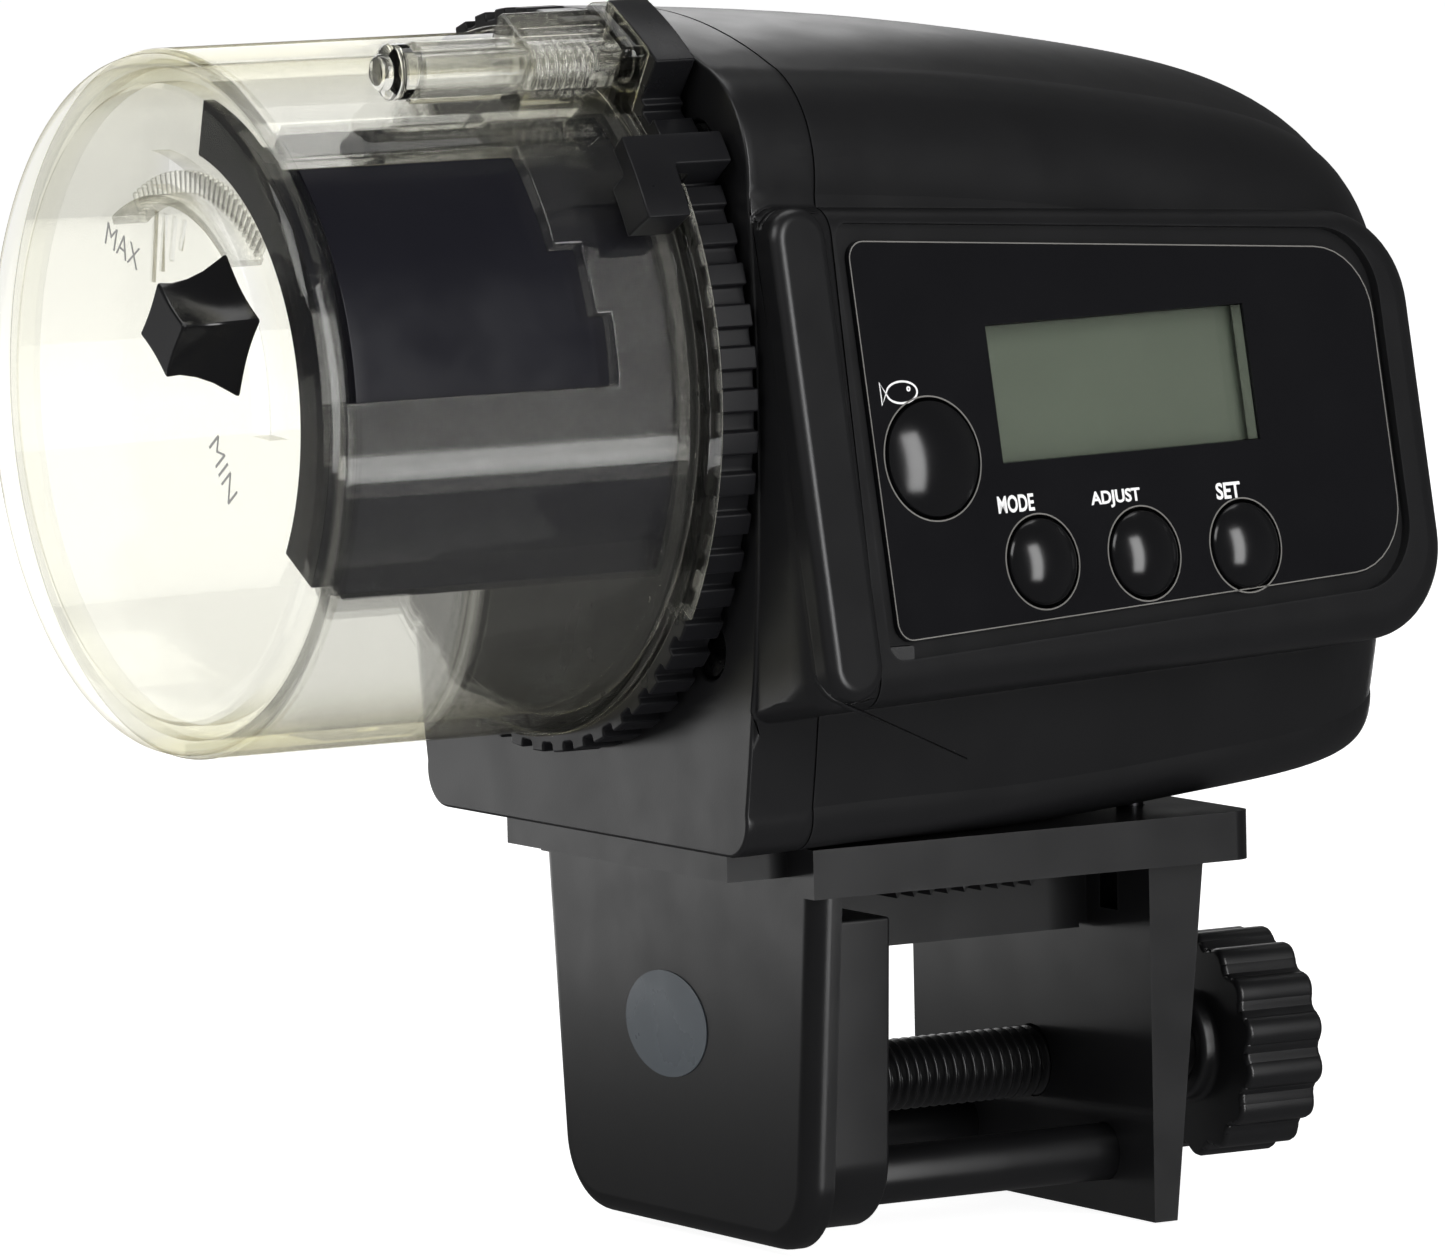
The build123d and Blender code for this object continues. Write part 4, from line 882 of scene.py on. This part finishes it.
def glow(nodes, links, plain, through):
    """Brightness plain, or through behind clear parts, dimmed to a third in reflections."""
    path = nodes.new("ShaderNodeLightPath")
    seen = spread(nodes, links, path.outputs["Transmission Depth"], plain, through, 0.0, 1.0)
    reflected = spread(nodes, links, path.outputs["Glossy Depth"], 1.0, 0.33, 0.0, 1.0)
    return product(nodes, links, seen, reflected)


def make_studio():
    """Pale floor and even surroundings, with tall and wide soft lights."""
    bpy.ops.mesh.primitive_plane_add(size=14.0, location=(0, 3.0, FLOOR_Z - 0.0002))
    floor = bpy.context.object
    floor.name = "floor"
    m, nodes, links, shader = nodes_of("floor_paper")
    paper = tint(nodes, links, noise(nodes, links, 60.0), (0.46, 0.46, 0.46), (0.50, 0.50, 0.50))
    links.new(paper, shader.inputs["Base Color"])
    shader.inputs["Roughness"].default_value = 0.9
    shader.inputs["Emission Color"].default_value = (1, 1, 1, 1)
    links.new(glow(nodes, links, 0.93, 0.93), shader.inputs["Emission Strength"])
    floor.data.materials.append(m)
    floor.visible_glossy = False
    world = bpy.data.worlds.new("studio")
    world.use_nodes = True
    tree = world.node_tree
    background = tree.nodes["Background"]
    background.inputs["Color"].default_value = (1, 1, 1, 1)
    tree.links.new(glow(tree.nodes, tree.links, 0.2, 0.85), background.inputs["Strength"])
    bpy.context.scene.world = world
    soft_light("strip", (0.21, -0.98, 0.22), (0.36, 1.1), 9.0)
    soft_light("key", (-0.75, -0.35, 0.70), (0.5, 0.5), 3.5)
    soft_light("top", (0.10, 0.25, 0.95), (0.9, 0.4), 2.2)
    soft_light("back", (0.2, 0.95, 0.45), (0.9, 0.4), 2.5)
    soft_light("side", (-0.62, 0.80, 0.02), (0.5, 0.35), 0.14)
    soft_light("bounce", (0.0, 0.35, FLOOR_Z + 0.001), (0.6, 0.4), 1.2, (0.0, 0.35, 1.0))
    low = soft_light("low", (0.10, -0.24, FLOOR_Z + 0.001), (0.40, 0.10), 0.6, (0.10, -0.24, 1.0))
    receivers = bpy.data.collections.new("drum_only")
    for name in ("shutter_plate", "drum_clear_shell"):
        receivers.objects.link(bpy.data.objects[name])
    low.light_linking.receiver_collection = receivers
    bpy.context.scene.view_settings.view_transform = "Standard"


make_camera()
make_studio()
